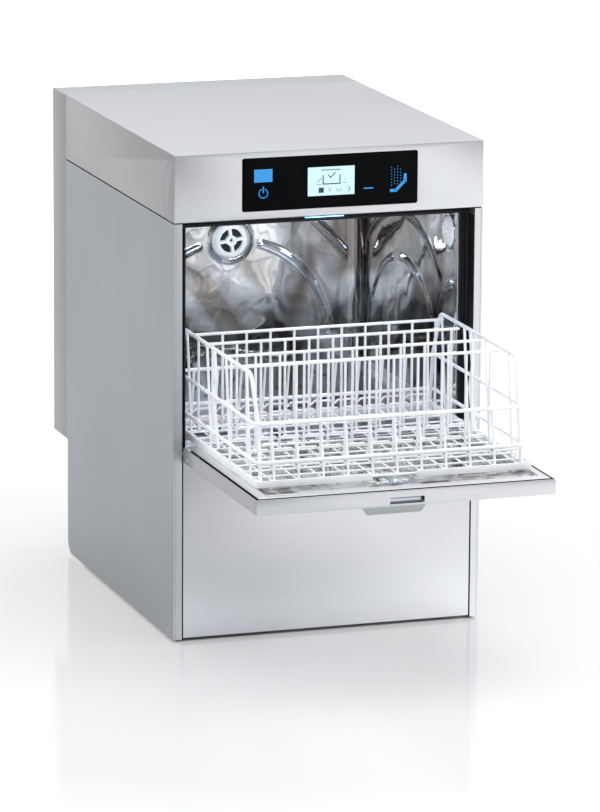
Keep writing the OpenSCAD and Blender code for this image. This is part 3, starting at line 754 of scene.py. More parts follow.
def rear_cover():
    """Deep cover on the back, with pressed louvres near its top."""
    cover = Box("rear_housing")
    column_pitch, row_pitch, lowest = 60, 12, 600
    half_slot, half_height, slot_corner = 23, 2, 1.9
    root, drop = cover.y1 - 0.6, 0.4
    outer, inner = 3.2, 2.4
    slots, hoods = Shape(), Shape()
    for column in (-1, 0, 1):
        x = column * column_pitch
        for row in range(5):
            z = lowest + row_pitch * row
            slot = rounded_rectangle(
                x - half_slot, z - half_height, x + half_slot, z + half_height, slot_corner, 4
            )
            slots.prism(slot, cover.y1 - PAST, cover.y1 + PAST, "y")
            bulge = [
                (root, z + 3.4), *arc((root, z - drop), outer, 90, 0, 5),
                (root + 2.5, z - drop), *arc((root, z - drop), inner, 0, 90, 5),
            ]
            hoods.prism(bulge, x - half_slot, x + half_slot, "x")
    shell = combined(sheet_tray(cover.low, cover.high, SHEET, "y0", 1.6), slots)
    piece("rear_cover", "cabinet", REAR_STEEL, shell, ("rear_housing",), edge=0.3)
    piece("rear_louvres", "cabinet", REAR_STEEL, hoods, edge=0.15)


def service_cover():
    """Removable front panel below the door, its side edges folded back."""
    panel = Box("front_service_panel")
    side_gap, fold_depth, fold = 0.6, 14, 1.4
    low = (panel.x0 + side_gap, panel.y0, panel.z0)
    high = (panel.x1 - side_gap, panel.y0 + fold_depth, panel.z1)
    cover = sheet_tray(low, high, SHEET, "y1", fold)
    piece("service_cover", "cabinet", FRONT_STEEL, cover, ("front_service_panel",), edge=0.25)


def opening_seal():
    """Black profile round the opening: face, two sealing ribs, outer flange."""
    seal = Box("door_gasket")
    inner, head = 204.5, seal.z1 - 10
    front, back = seal.y0, seal.y1
    light_end = Box("status_light").x1 + 0.6
    flange_out, flange_y = Box("right_side_panel").x0 - 0.05, deep(1.4)
    flange_in = flange_out - 0.3
    side = [
        (inner, back), (inner, front + 1.6), (inner + 0.8, front + 0.7), (inner + 2.4, front + 0.7),
        *arc((inner + 4.6, front + 1.4), 1.9, 160, 20, 5), (inner + 7.2, front + 1.3),
        *arc((inner + 9.4, front + 1.4), 1.6, 160, 20, 5),
        (flange_in, front + 1.3), (flange_in, flange_y), (flange_out, flange_y), (flange_out, back),
    ]
    top = [
        (back, head), (front + 0.6, head), (front, head + 0.8), (front, head + 1.6),
        *arc((front + 1.0, head + 3.0), 1.5, 230, 130, 5),
        (front + 0.9, head + 5.4), (back, head + 5.4),
    ]
    shape = Shape().prism(side, seal.z0, head - 0.05, "z")
    shape.block((light_end, front, head + 5.6), (seal.x1, back, seal.z1), 0.5, 2)
    shape.mirrored()
    shape.prism(top, seal.x0, seal.x1, "x")
    piece("opening_seal", "cabinet", SEAL, shape, ("door_gasket",), edge=0.2, smooth=50)


# ---- wash chamber ----------------------------------------------------------

class Bead:
    """A pressed arc-shaped rib, told by its height at a place (u, v)."""

    def __init__(self, centre, radius, start, end, width=11.0, height=3.2):
        self.centre, self.radius = centre, radius
        self.start, self.end = start, end
        self.half, self.height = width / 2, height

    def at(self, u, v):
        """How high the rib stands at a place."""
        du, dv = u - self.centre[0], v - self.centre[1]
        off = abs(math.hypot(du, dv) - self.radius)
        turn = math.degrees(math.atan2(dv, du))
        if not self.start <= turn <= self.end:
            nearest = math.radians(min(max(turn, self.start), self.end))
            tip_u, tip_v = self.radius * math.cos(nearest), self.radius * math.sin(nearest)
            off = math.hypot(du - tip_u, dv - tip_v)
        steepness = 1.35
        return self.height * smooth_step(steepness * (1 - off / self.half), 0, 1)


def beads_at(beads, u, v):
    """How far the sheet is pressed in at a place, capped where beads cross."""
    deepest = 3.6
    return min(sum(bead.at(u, v) for bead in beads), deepest)


BEAD_Z, VENT_Z = 325, 484
REAR_BEADS = [
    Bead((0, BEAD_Z), 158, 4, 72), Bead((0, BEAD_Z), 158, 108, 176),
    Bead((0, BEAD_Z), 224, 20, 54), Bead((0, BEAD_Z), 224, 126, 160),
    Bead((0, VENT_Z), 31, -180, 180, width=9, height=2.6),
]
SIDE_BEADS = [
    Bead((266, BEAD_Z), 224, 45, 135), Bead((266, BEAD_Z), 156, 30, 72),
    Bead((266, BEAD_Z), 156, 86, 142), Bead((50, 429), 54, -8, 88),
]


def ripple(along, z):
    """Slow unevenness of thin polished sheet."""
    return (0.30 * math.sin(along / 31 + 1.2) * math.sin(z / 43)
            + 0.22 * math.sin(along / 17 + z / 29) + 0.14 * math.sin(z / 15 - along / 53))


def chamber_liner():
    """Left, rear and right walls pressed from one sheet, with raised beads."""
    wall, rear = Box("chamber_right_wall"), Box("chamber_rear_wall")
    half, front, back = wall.x0, wall.y0 + 0.2, rear.y0
    corner = 22
    joggle, joggle_end, joggle_slope = 2.4, 20, 6
    side_run = back - corner - front
    corner_run = corner * math.pi / 2
    total = 2 * (side_run + corner_run + half - corner)

    def side_place(run, z):
        """From the front edge of the left wall to the back."""
        edge = joggle * smooth_step(joggle_end - run, 0, joggle_slope)
        inward = beads_at(SIDE_BEADS, front + run - FRONT, z) + ripple(run, z) + edge
        return Vector((-half + inward, front + run, z))

    def rear_place(x, z):
        """From the left corner of the rear wall to the right."""
        inward = beads_at(REAR_BEADS, x, z) + ripple(x + 400, z)
        return Vector((x, back - inward, z))

    def place(run, z):
        """Any place on the sheet; the right half mirrors the left."""
        if run > total / 2:
            mirror = place(total - run, z)
            return Vector((-mirror.x, mirror.y, z))
        if run <= side_run:
            return side_place(run, z)
        if run <= side_run + corner_run:
            turn = (run - side_run) / corner
            middle = Vector((-half + corner, back - corner, z))
            return middle + Vector((-math.cos(turn), math.sin(turn), 0)) * corner
        return rear_place(-half + corner + run - side_run - corner_run, z)

    step = 2.6
    liner = Shape().grid(spaced(0, total, step), spaced(wall.z0, wall.z1, step), place)
    made = piece(
        "chamber_liner", "cabinet", LINER_STEEL, liner,
        ("chamber_left_wall", "chamber_right_wall", "chamber_rear_wall"), shell=SHEET, smooth=60,
    )
    made.modifiers["thickness"].offset = 1


def vent(name, centre, axis, scale, nodes=()):
    """White grille with four curved slots, in a bright ring, over its duct, shown as a thin black disc of
    painted shade.
    """
    def turned(outline, steps=64, closed=True):
        scaled = [(radius * scale, height * scale) for radius, height in outline]
        return Shape().lathe(scaled, centre, axis, steps, closed)

    base = 0.3 / scale
    cap = turned([
        (3, 2), (3, 7.6), (3.8, 8.4), (6.5, 8.6), (19.5, 8.2), (23.6, 6.6), (26, 4.2),
        (26.6, 1.5), (26.6, base), (3, base),
    ])
    inner, outer, gap, height = [size * scale for size in (7.8, 18.4, 1.9, 12)]
    cut_in, cut_out = math.degrees(gap / inner), math.degrees(gap / outer)
    slots = Shape()
    for quarter in range(4):
        start = 90 * quarter + 8
        end = start + 90
        outline = [
            *arc((0, 0), outer, start + cut_out, end - cut_out, 10),
            *arc((0, 0), inner, end - cut_in, start + cut_in, 8),
        ]
        slots.prism(outline, -1, height, "z")
    bmesh.ops.transform(slots.bm, matrix=standing(centre, axis), verts=slots.bm.verts)
    piece(name, "cabinet", VENT_WHITE, combined(cap, slots), nodes, edge=0.35 * scale, smooth=35)
    low = 0.2 / scale
    ring = turned([
        (27.0, low), (27.0, 2.6), (27.6, 3.8), (28.8, 4.3), (30.4, 3.8), (31.6, 2.4),
        (32.6, 0.9), (32.9, low),
    ])
    piece(name + "_ring", "cabinet", LINER_STEEL, ring, smooth=60)
    # Painted shade: the dark inside the duct is a thin black disc on the wall behind the slots.
    duct = turned([(0, -base), (24, -base), (24, low), (0, low)], 48, False)
    piece(name + "_duct_shade", "cabinet", SEAL, duct, edge=0.1)


def vents():
    """One vent in the middle of the rear wall, a smaller one on the right."""
    rear, side = Box("chamber_rear_wall"), Box("chamber_right_wall")
    stand_off = 0.6
    vent("rear_vent", (0, rear.y0 - stand_off, VENT_Z), (0, -1, 0), 1.0, ("chamber_vents",))
    vent("side_vent", (side.x0 - stand_off, deep(66), 558), (-1, 0, 0), 0.82)


# ---- controls --------------------------------------------------------------

def control_panel():
    """Bevelled black glass with its screen, ink marks and blue touch marks."""
    glass, screen = Box("control_glass"), Box("control_display")
    face = glass.y0
    bevel, corner, sharpest = 3.2, 3.0, 0.8
    profile = (
        (0, glass.y1), (0, face + 0.9), (0.25, face + 0.6), (bevel, face + 0.05), (bevel + 0.4, face)
    )
    rings = []
    for inset, y in profile:
        outline = rounded_rectangle(
            glass.x0 + inset, glass.z0 + inset, glass.x1 - inset, glass.z1 - inset,
            max(corner - inset * 0.7, sharpest),
        )
        rings.append([(u, y, v) for u, v in outline])
    piece("panel_glass", "cabinet", GLASS, Shape().rings(rings), ("control_glass",), smooth=5)

    outline = rounded_rectangle(screen.x0, screen.z0, screen.x1, screen.z1, sharpest, 3)
    plate = Shape().prism(outline, screen.y0, screen.y1, "y")
    piece("screen_plate", "cabinet", SCREEN, plate, ("control_display",), edge=0.05)
    screen_marks(screen)
    touch_marks(glass)


def screen_marks(screen):
    """Plain generic signs: title bar, tub with a tick, row of small icons."""
    back, face = screen.y0 - 0.01, screen.y0 - 0.1
    middle, top = (screen.x0 + screen.x1) / 2, screen.z1
    title_bars = ((-14, -9.5), (-8.5, -2), (-1, 4.5), (5.5, 13))
    signs = [
        *[(1.1, [(start, -4.6), (end, -4.6)]) for start, end in title_bars],
        (1.5, [(-12, -12.5), (-12, -24.5), (13, -24.5), (13, -12.5)]),
        (1.3, [(-4, -12), (-1, -15.5), (6, -9)]),
        (0.7, [(-20.5, -21), (-17, -19), (-15.6, -15.5)]),
        (0.6, [(-21.5, -25), (-15, -25)]),
        (0.6, [(17.5, -23.5), (23, -23.5)]),
        (0.5, [(19, -20.5), (21.5, -18.5)]),
        (0.45, [(-3.6, -30), (-3.4, -33.4), (-0.6, -33.4), (-0.4, -30)]),
        (0.45, [(-2, -33.8), (-2, -36.6)]),
        (0.5, [(8, -30.8), (8.6, -35.4), (14.4, -35.4), (15, -30.8)]),
        (0.4, [(8.6, -33), (14.4, -33)]),
        (0.9, [(25.4, -29.8), (28.4, -33), (25.4, -36.2)]),
    ]
    ink = Shape()
    for width, path in signs:
        ink.stroke([(middle + x, top + z) for x, z in path], width, back, face)
    ink.block((middle - 18.5, face, top - 36.8), (middle - 11, back, top - 29.6))
    for x in (middle - 16.8, middle - 12.5):
        ink.stroke([(x, top - 31), (x, top - 35)], 0.25, face, face - 0.05)
    piece("screen_marks", "cabinet", SCREEN_INK, ink)


def touch_marks(glass):
    """Lit signs behind the glass: square, power, dash, plate under a spray."""
    back, face = glass.y0 - 0.02, glass.y0 - 0.22
    base = glass.z0
    power_x, power_z = -99, base + 25
    plate = [(91, base + 19.5), (97.5, base + 19.5), (111.5, base + 33), (111.5, base + 41)]
    marks = Shape().block((-112.7, face, base + 41), (-85.8, back, base + 59.3))
    for path, width in (
        (arc((power_x, power_z), 6.4, 118, 422, 28), 1.5),
        ([(power_x, power_z + 1.5), (power_x, power_z + 9)], 1.6),
        ([(50.4, power_z - 0.2), (63.0, power_z - 0.2)], 1.7),
        (plate, 4.2),
    ):
        marks.stroke(path, width, back, face)
    drop_pitch, ceiling = 4.2, base + 54
    for column, rows in enumerate((8, 8, 7, 5, 2)):
        x = 91 + 4.5 * column
        lowest = base + 27 + drop_pitch / 2 * (column % 2) + 1.5 * max(column - 1, 0)
        for row in range(rows):
            z = lowest + drop_pitch * row
            if z < ceiling:
                marks.stroke([(x, z), (x + 0.2, z + 0.3)], 1.0, back, face)
    piece("touch_marks", "cabinet", ICON_BLUE, marks, ("control_icons",))


def light_bar():
    """Moulded light guide under the hood: two lit lines round a black web."""
    light = Box("status_light")
    upper_z, lower_z, gap = light.z1 - 1.7, light.z0 + 0.7, 0.05
    bar = Shape()
    for low, high, nose in ((upper_z, light.z1, 0.8), (light.z0, lower_z, 0.3)):
        outline = [
            (light.y1, low), (light.y0 + nose, low),
            *arc((light.y0 + nose, low + nose), nose, 270, 180, 4),
            (light.y0, high), (light.y1, high),
        ]
        bar.prism(outline, light.x0, light.x1, "x")
    piece("light_bar", "cabinet", LIGHT_BLUE, bar, ("status_light",), edge=0.1)
    web = Shape().block(
        (light.x0, light.y0 + 0.4, lower_z + gap), (light.x1, light.y1, upper_z - gap), 0.2, 2
    )
    piece("light_web", "cabinet", SEAL, web)


# ---- door ------------------------------------------------------------------

def door_shell():
    """Outer pan of the door: an open-topped tray with the grip slot."""
    pan = Box("door_outer_pan")
    wall = 1.5
    slot_half = 25
    outline = rounded_rectangle(-slot_half, pan.z0 + 3, slot_half, pan.z0 + 12, 1.6, 4)
    slot = Shape().prism(outline, pan.y0 - PAST, pan.y0 + PAST, "y")
    notch_in, notch_deep = 204.5, 3
    hook_centre = (pan.y0 + 16, pan.z0 + 11.5)
    hook_out, hook_in, groove = 8.5, 7.9, 0.5
    hook = arc(hook_centre, hook_out, 145, 215, 8) + arc(hook_centre, hook_in, 215, 145, 8)
    notches = Shape().block(
        (notch_in, pan.y1 - notch_deep, pan.z0 - 1), (pan.x1 + 2, pan.y1 + 3, pan.z1 + 2)
    )
    notches.prism(hook, pan.x1 - groove, pan.x1 + 1, "x").mirrored()
    seams = Shape().block(
        (pan.x1 - groove, pan.y0 + 1.6, pan.z0 + 0.8), (pan.x1 + 0.5, pan.y0 + 2.2, pan.z1 + 1)
    )
    shell = combined(sheet_tray(pan.low, pan.high, wall, "z1", 1.1), slot, notches, seams.mirrored())
    piece("door_shell", "door", DOOR_STEEL, shell, ("door_outer_pan",), edge=0.3)
    grip_pocket(pan, wall)


def grip_pocket(pan, wall):
    """Dished metal pocket behind the slot in the door's free edge."""
    front, low, high = pan.y0 + wall + 0.05, pan.z0 + 2.2, pan.z0 + 12.8
    middle, deepest, thick = (low + high) / 2, 7.5, 0.8
    dish = [(front, low), *arc((front, middle), deepest, -90, 90, 10)]
    dish = [(y, min(max(z, low), high)) for y, z in dish]
    inner = [(y - thick if y > front + thick else front, z) for y, z in reversed(dish)]
    pocket = Shape().prism(dish + [(front, high)] + inner[1:], -27.5, 27.5, "x")
    piece("grip_pocket", "door", POCKET_STEEL, pocket)


def graded(low, high, borders, step):
    """Grid lines with the given border offsets at both ends."""
    middle = spaced(low + borders[-1], high - borders[-1], step)[1:-1]
    return [low + b for b in borders] + middle + [high - b for b in reversed(borders)]


def plateau(value, start, end, slope):
    """1 between start and end, with a smooth slope inside each of them."""
    return smooth_step(value, start, start + slope) - smooth_step(value, end - slope, end)


def edge_distance(box, point):
    """How far inside the outline of a box a point lies, seen from above."""
    return min(point.x - box.x0, box.x1 - point.x, point.y - box.y0, box.y1 - point.y)


def door_tray():
    """Polished inner panel: rolled rim, drain channel, two sunk fields."""
    tray = Box("door_inner_panel")
    rim, rim_drop = 13.0, 2.1
    channel_depth, channel_end, channel_slope = 1.4, 21, 3
    field_depth, field_slope = 1.0, 7
    borders = [0, 0.1, 0.4, 1, 2, 3.5, 5, 7, 9, 11, 13, 14, 15, 16, 18, 19, 20, 21]

    def height(x, y):
        """The sheet's z, from its rolled rim to its sunk fields."""
        edge = edge_distance(tray, Vector((x, y, 0)))
        if edge < rim:
            outward = min(1 - edge / rim, 1.0)
            return tray.z1 - rim_drop * (1 - math.sqrt(1 - outward ** 2))
        channel = plateau(edge, rim, channel_end, channel_slope)
        field = plateau(abs(x), 18, 150, field_slope) * plateau(y - tray.y0, 38, 279, field_slope)
        return tray.z1 - channel_depth * channel - field_depth * field

    columns = graded(tray.x0, tray.x1, borders, 2.6)
    rows = graded(tray.y0, tray.y1, borders, 2.6)

    def sheet(is_rim):
        """The faces of the rim, or the faces inside it."""
        shape = Shape().grid(columns, rows, lambda x, y: Vector((x, y, height(x, y))))
        other = []
        for face in shape.bm.faces:
            if (edge_distance(tray, face.calc_center_median()) < rim) != is_rim:
                other.append(face)
        bmesh.ops.delete(shape.bm, geom=other, context="FACES")
        return shape

    piece("door_tray", "door", TRAY_STEEL, sheet(False), ("door_inner_panel",), shell=0.5, smooth=60)
    # The rim's near-white steel is painted light.
    piece("tray_rim", "door", PAINTED_LIGHT_RIM_STEEL, sheet(True), shell=0.5, smooth=60)


def grip_lip():
    """Bent strip below the free edge: flange, bend and tapered lip."""
    grip = Box("door_grip")
    thick, bend = 2.0, 4.0
    centre = (grip.y0 + bend, grip.z1 - bend)
    profile = [
        (grip.y1, grip.z1), *arc(centre, bend, 90, 180, 6), (grip.y0, grip.z0 + 3),
        (grip.y0 + 1, grip.z0), (grip.y0 + thick + 0.6, grip.z0 + 0.4),
        (grip.y0 + thick, grip.z0 + 3), *arc(centre, bend - thick, 180, 90, 5),
        (grip.y1, grip.z1 - thick),
    ]
    taper, taper_z = 9, (grip.z0 + grip.z1) / 2
    corner = [
        (grip.x1 - taper, grip.z0 - 1), (grip.x1 + PAST, grip.z0 - 1),
        (grip.x1 + PAST, taper_z), (grip.x1, taper_z),
    ]
    corners = Shape().prism(corner, grip.y0 - PAST, grip.y1 + PAST, "y").mirrored()
    lip = combined(Shape().prism(profile, grip.x0, grip.x1, "x"), corners)
    piece("grip_lip", "door", GRIP_STEEL, lip, ("door_grip",), edge=0.5)


def domed_head(shape, centre, axis, radius, height):
    """A screw's domed head with a round socket."""
    dome = [(0, 0), (radius, 0), (radius, 0.25 * height), (0.86 * radius, 0.66 * height),
            (0.6 * radius, 0.92 * height), (0.45 * radius, height)]
    shape.lathe(dome + [(0.42 * radius, 0.4 * height), (0, 0.4 * height)], centre, axis, 24)


def screws():
    """Domed screws on the back of the cabinet and on the door's sides."""
    cover, pan = Box("rear_housing"), Box("door_outer_pan")
    x, panel_face = cover.x1 - 16, deep(500)
    back, door = Shape(), Shape()
    for z in (cover.z0 + 20, 440, cover.z1 - 20):
        domed_head(back, (x, cover.y1, z), BACK, 4, 1.5)
    for z in (60, 150):
        domed_head(back, (x, panel_face, z), BACK, 4, 1.5)
    for depth in (-24, -60):
        domed_head(door, (pan.x1, deep(depth), pan.z0 + 8), (1, 0, 0), 3.5, 0.55)
    piece("rear_screws", "cabinet", PLAIN_STEEL, back.mirrored(), ("cabinet_screws",))
    piece("door_side_screws", "door", PLAIN_STEEL, door.mirrored(), ("door_screws",))


# ---- rack ------------------------------------------------------------------

PITCH = 35.6
HOOP_R, RIM_R, UPRIGHT_R, CROSS_R, THIN_R = 2.7, 2.8, 1.9, 2.2, 1.5
GRID_SHIFT = UPRIGHT_R + THIN_R + 0.1
FENCE_DEPTHS = (-174, -102, -17, 49)
SIDE_FOOT_DEPTHS = (-231.5, -140, -53.5, 40)
SIDE_LEAN = 20
STRIP_H = 10
rack = Box("rack_base")
hoops = Box("rack_hoops")
rims = Box("rack_side_rims")
RACK_MID = (rack.y0 + rack.y1) / 2
HALF_RACK = rack.x1
HALF_HOOP = hoops.x1 - HOOP_R
HOOP_LOW, HOOP_HIGH = hoops.z0 + HOOP_R, hoops.z1 - HOOP_R
RIM_Z = rims.z1 - RIM_R
HALF_RIM = rims.x1 - RIM_R
STRIP_TOP = rack.z0 + STRIP_H
FENCE_Z = RIM_Z - 5
FOOT_Z = rack.z0 + 5
WALL_XS = [i * PITCH + 2 * GRID_SHIFT for i in range(-5, 5)]
FENCE_XS = [i * PITCH for i in range(-5, 6)]


def wall_y(side, z):
    """Centre line of the front (-1) or rear (1) wall, which leans inwards."""
    inset = 6 + 0.19 * (z - STRIP_TOP)
    return RACK_MID + side * (HALF_RACK - inset)


def edge_strips():
    """Flat coated strips round the base, with eyes for the front rod."""
    _, rod_y, rod_z = Box("rack_front_rod").middle
    thick, half_gap, round_by = 2.2, 32, 0.8
    eye_length, eye_r = 8, 3.0
    strips = Shape()
    strips.block((half_gap, rack.y0, rack.z0), (rack.x1, rack.y0 + thick, STRIP_TOP), round_by)
    for x in (50, 120, 186):
        strips.tube([(x, rod_y, rod_z), (x + eye_length, rod_y, rod_z)], eye_r, 16, dome=False)
    strips.block(
        (rack.x1 - 2, rack.y0 + thick - 0.4, rack.z0), (rack.x1, rack.y1, STRIP_TOP), round_by
    )
    strips.mirrored()
    strips.block(
        (rack.x0 + 1, rack.y1 - 2.6, rack.z0), (rack.x1 - 1, rack.y1, STRIP_TOP), round_by
    )
    piece("rack_edge_strips", "rack", WIRE, strips, ("rack_base",))


def base_grid():
    """Long wires below, cross wires above, and rows of notched wires."""
    grid = Shape()
    front_end, rear_end, half = rack.y0 + 3.4, rack.y1 - 2.8, rack.x1 - 2.4
    long_z, cross_z, notched_r = STRIP_TOP - 2.4, STRIP_TOP + 0.5, 1.6
    side_x = HALF_HOOP - HOOP_R + THIN_R
    for x in (-side_x, *[fence_x + GRID_SHIFT for fence_x in FENCE_XS], side_x):
        grid.tube([(x, front_end, long_z), (x, rear_end, long_z)], THIN_R, 10)
    for step in range(-5, 6):
        y = RACK_MID + step * PITCH
        grid.tube([(-half, y, cross_z), (half, y, cross_z)], THIN_R, 10)
    for side in (-1, 1):
        behind_wall = wall_y(side, STRIP_TOP + 14) - side * (HOOP_R + 2 * UPRIGHT_R + 1.2)
        grid.tube(notched_row(behind_wall, WALL_XS), notched_r, 10)
    for depth in FENCE_DEPTHS:
        behind_fence = deep(depth) + 3.4
        grid.tube(notched_row(behind_fence, FENCE_XS), notched_r, 10)
    piece("rack_grid", "rack", WIRE, grid)


def notched_row(y, upright_xs):
    """A cross wire that dips in a small V at every upright."""
    high, low, half_notch = STRIP_TOP + 16, STRIP_TOP + 10.5, 5.5
    end = HALF_HOOP - HOOP_R - 2 * UPRIGHT_R - 1
    path = [(-end, y, high)]
    for x in upright_xs:
        path += [(x - half_notch, y, high), (x, y, low), (x + half_notch, y, high)]
    path.append((end, y, high))
    bend = 2.5
    return filleted(path, bend, 3)


def hoop_wires():
    """Two closed hoops round the rack."""
    hoop, bend = Shape(), 11
    for z in (HOOP_LOW, HOOP_HIGH):
        turns = ((-1, -1), (1, -1), (1, 1), (-1, 1))
        corners = [(side * HALF_HOOP, wall_y(end, z), z) for side, end in turns]
        hoop.tube(filleted(corners, bend, 7, closed=True), HOOP_R, 14, closed=True)
    piece("hoop_wires", "rack", WIRE, hoop, ("rack_hoops",))


def rim_wires():
    """One bent wire a side: corner post, bend, top rim, bend, post."""
    bend_in, corner_in, bend = 46.7, 6.6, 16
    knee = HOOP_HIGH + 4
    post_x = HALF_RIM - 2 * RIM_R + 0.4
    rim = Shape()
    path = []
    for side in (-1, 1):
        foot = (post_x + 0.6, wall_y(side, STRIP_TOP) - side * corner_in, rack.z0 + 3)
        joint = (post_x, wall_y(side, knee) - side * corner_in, knee)
        top = (HALF_RIM - 1.5, RACK_MID + side * (HALF_RACK - bend_in), RIM_Z)
        path += [foot, joint, top] if side < 0 else [top, joint, foot]
    rim.tube(filleted(path, bend, 7), RIM_R, 14)
    rim.mirrored()
    piece("rim_wires", "rack", WIRE, rim, ("rack_side_rims",))


def weld(shape, point, radius):
    """A blob of coating where two wires cross."""
    outline = [(0, -radius), *arc((0, 0), radius, -60, 60, 4), (0, radius)]
    shape.lathe(outline, point, UP, 10)


def wall_uprights():
    """Uprights of the four walls, with coating blobs where they are welded."""
    uprights = Shape()
    top, blob = RIM_Z - 1, 2.5
    inward = HOOP_R + UPRIGHT_R - 0.5
    for side in (-1, 1):
        for x in WALL_XS:
            ends = [(x, wall_y(side, z) - side * inward, z) for z in (FOOT_Z, HOOP_HIGH + 1.5)]
            uprights.tube(ends, UPRIGHT_R, 10)
            for z in (HOOP_LOW, HOOP_HIGH):
                weld(uprights, (x, wall_y(side, z) - side * (HOOP_R - 0.4), z), blob)
        for depth in SIDE_FOOT_DEPTHS:
            x, y = side * (HALF_HOOP - inward), deep(depth)
            uprights.tube([(x, y, FOOT_Z), (x, y + SIDE_LEAN, top)], UPRIGHT_R, 10)
            for z in (HOOP_LOW, HOOP_HIGH, top):
                lean = SIDE_LEAN * (z - FOOT_Z) / (top - FOOT_Z)
                weld(uprights, (side * (HALF_HOOP - HOOP_R + 0.4), y + lean, z), blob)
        crank_x = side * (HALF_HOOP - HOOP_R - RIM_R + 0.2)
        crank = [(crank_x, RACK_MID, STRIP_TOP + 1), (crank_x, RACK_MID + 22, HOOP_HIGH - 14),
                 (crank_x, RACK_MID + 11, HOOP_HIGH + 18), (crank_x, RACK_MID + 21, top)]
        uprights.tube(filleted(crank, 12, 5), RIM_R - 0.2, 12)
    piece("wall_uprights", "rack", WIRE, uprights, ("rack_uprights",))


def divider_fences():
    """Four fences that part the rows of glasses."""
    fences = Shape()
    half = HALF_HOOP - HOOP_R - 2 * UPRIGHT_R
    top, blob = FENCE_Z - 0.6, 2.6
    for depth in FENCE_DEPTHS:
        y = deep(depth)
        fences.tube([(-half, y, FENCE_Z), (half, y, FENCE_Z)], CROSS_R, 12)
        for x in FENCE_XS:
            fences.tube([(x, y, FOOT_Z), (x, y, top)], UPRIGHT_R, 10)
            weld(fences, (x, y, top), blob)
    piece("divider_fences", "rack", WIRE, fences, ("rack_dividers",))


def slide_rod():
    """The thin rod that joins the two front strips and slides on the door."""
    rod = Box("rack_front_rod")
    _, y, z = rod.middle
    shape = Shape().tube([(rod.x0 + 1, y, z), (rod.x1 - 1, y, z)], 1.8, 14)
    piece("slide_rod", "rack_slider", WIRE, shape, ("rack_front_rod",))


# ---- spray arms, feet and fittings -----------------------------------------

def blade_section(side, reach, share):
    """The oval ring of a wash arm's blade at a share of its length; the tip is round."""
    root, middle_z = 16, 7
    tip_start, tip_length, bluntness = 0.93, 0.075, 0.02
    narrowing = math.sqrt(max(1 - max(share - tip_start, 0) / tip_length, bluntness))
    half_width, half_height = (13.5 - 5 * share) * narrowing, 4.6 * (1 - 0.3 * share)
    x = side * (root + (reach - root) * share)
    turns = [2 * math.pi * k / 20 for k in range(20)]
    return [(x, half_width * math.cos(t), middle_z + half_height * math.sin(t)) for t in turns]


def spray_arm(level, kind):
    """A pressed arm: hub, a blade or pipe each side, and its nozzles."""
    node = f"{level}_{kind}_arm"
    wash, upright = kind == "wash", level == "lower"
    reach, tilt = (178, 0) if wash else (163, 35)
    hub_r, hub_h, bore = (20, 16, 8.1) if wash else (13, 10, 5.1)
    nozzle_r, nozzle_top = (4, 14) if wash else (2.5, 10.5)
    spots = range(50, 141, 30) if wash else range(40, 161, 30)
    hub = [
        (bore, 0.3), (hub_r - 2, 0.3), (hub_r, 2), (hub_r, hub_h * 0.55),
        (hub_r - 2.5, hub_h - 1.5), (hub_r - 5, hub_h), (bore, hub_h),
    ]
    nozzle = [
        (0, 5), (nozzle_r, 5), (nozzle_r, nozzle_top - 1), (nozzle_r - 0.8, nozzle_top),
        (0.9, nozzle_top), (0.9, nozzle_top - 2), (0, nozzle_top - 2),
    ]
    shape = Shape().lathe(hub, (0, 0, 0), UP, 40, closed=True)
    for side in (-1, 1):
        if wash:
            shape.rings([blade_section(side, reach, i / 14) for i in range(15)])
        else:
            shape.tube([(side * 9, 0, 5), (side * reach, 0, 5)], 4.3, 16)
        for spot in spots:
            shape.lathe(nozzle, (side * spot, 0, 0), UP, 18)
    arm = Box(node)
    place = Matrix.Translation((0, deep(228), arm.z0 if upright else arm.z1))
    turn = Matrix.Rotation(math.radians(tilt), 4, "Z")
    flip = Matrix.Diagonal((1, 1, 1 if upright else -1, 1))
    bmesh.ops.transform(shape.bm, matrix=place @ turn @ flip, verts=shape.bm.verts)
    piece(node + "_blade", node, ARM_STEEL, shape, (node,))


def spray_arms():
    """A wash arm and a rinse arm under the rack, and the same upside down above it."""
    for kind in ("wash", "rinse"):
        for level in ("lower", "upper"):
            spray_arm(level, kind)


def feet():
    """Levelling feet: round pad, hexagon and threaded stem."""
    pad = [(0, 0), (18.6, 0), (20, 1.2), (20, 4.6), (18.2, 6.6), (12, 7.6), (9, 8), (0, 8)]
    pitch, root_r, crest_r = 1.6, 4.2, 4.9
    for where in ("front_left", "front_right", "rear_left", "rear_right"):
        name = where + "_foot"
        foot = Box(name)
        x, y, _ = foot.middle
        shape = Shape().lathe(pad, (x, y, foot.z0), UP, 48)
        shape.prism(arc((x, y), 8, 0, 300, 5), foot.z0 + 7.6, foot.z0 + 9.7, "z")
        thread = [(0, 9)]
        for turn in range(26):
            z = 9.5 + pitch * turn
            thread += [(root_r, z), (crest_r, z + pitch / 2)]
        thread += [(root_r, foot.z1 - 1), (3.4, foot.z1), (0, foot.z1)]
        shape.lathe(thread, (x, y, foot.z0), UP, 24)
        piece(name + "_screw", name, BLACK_NYLON, shape, (name,))


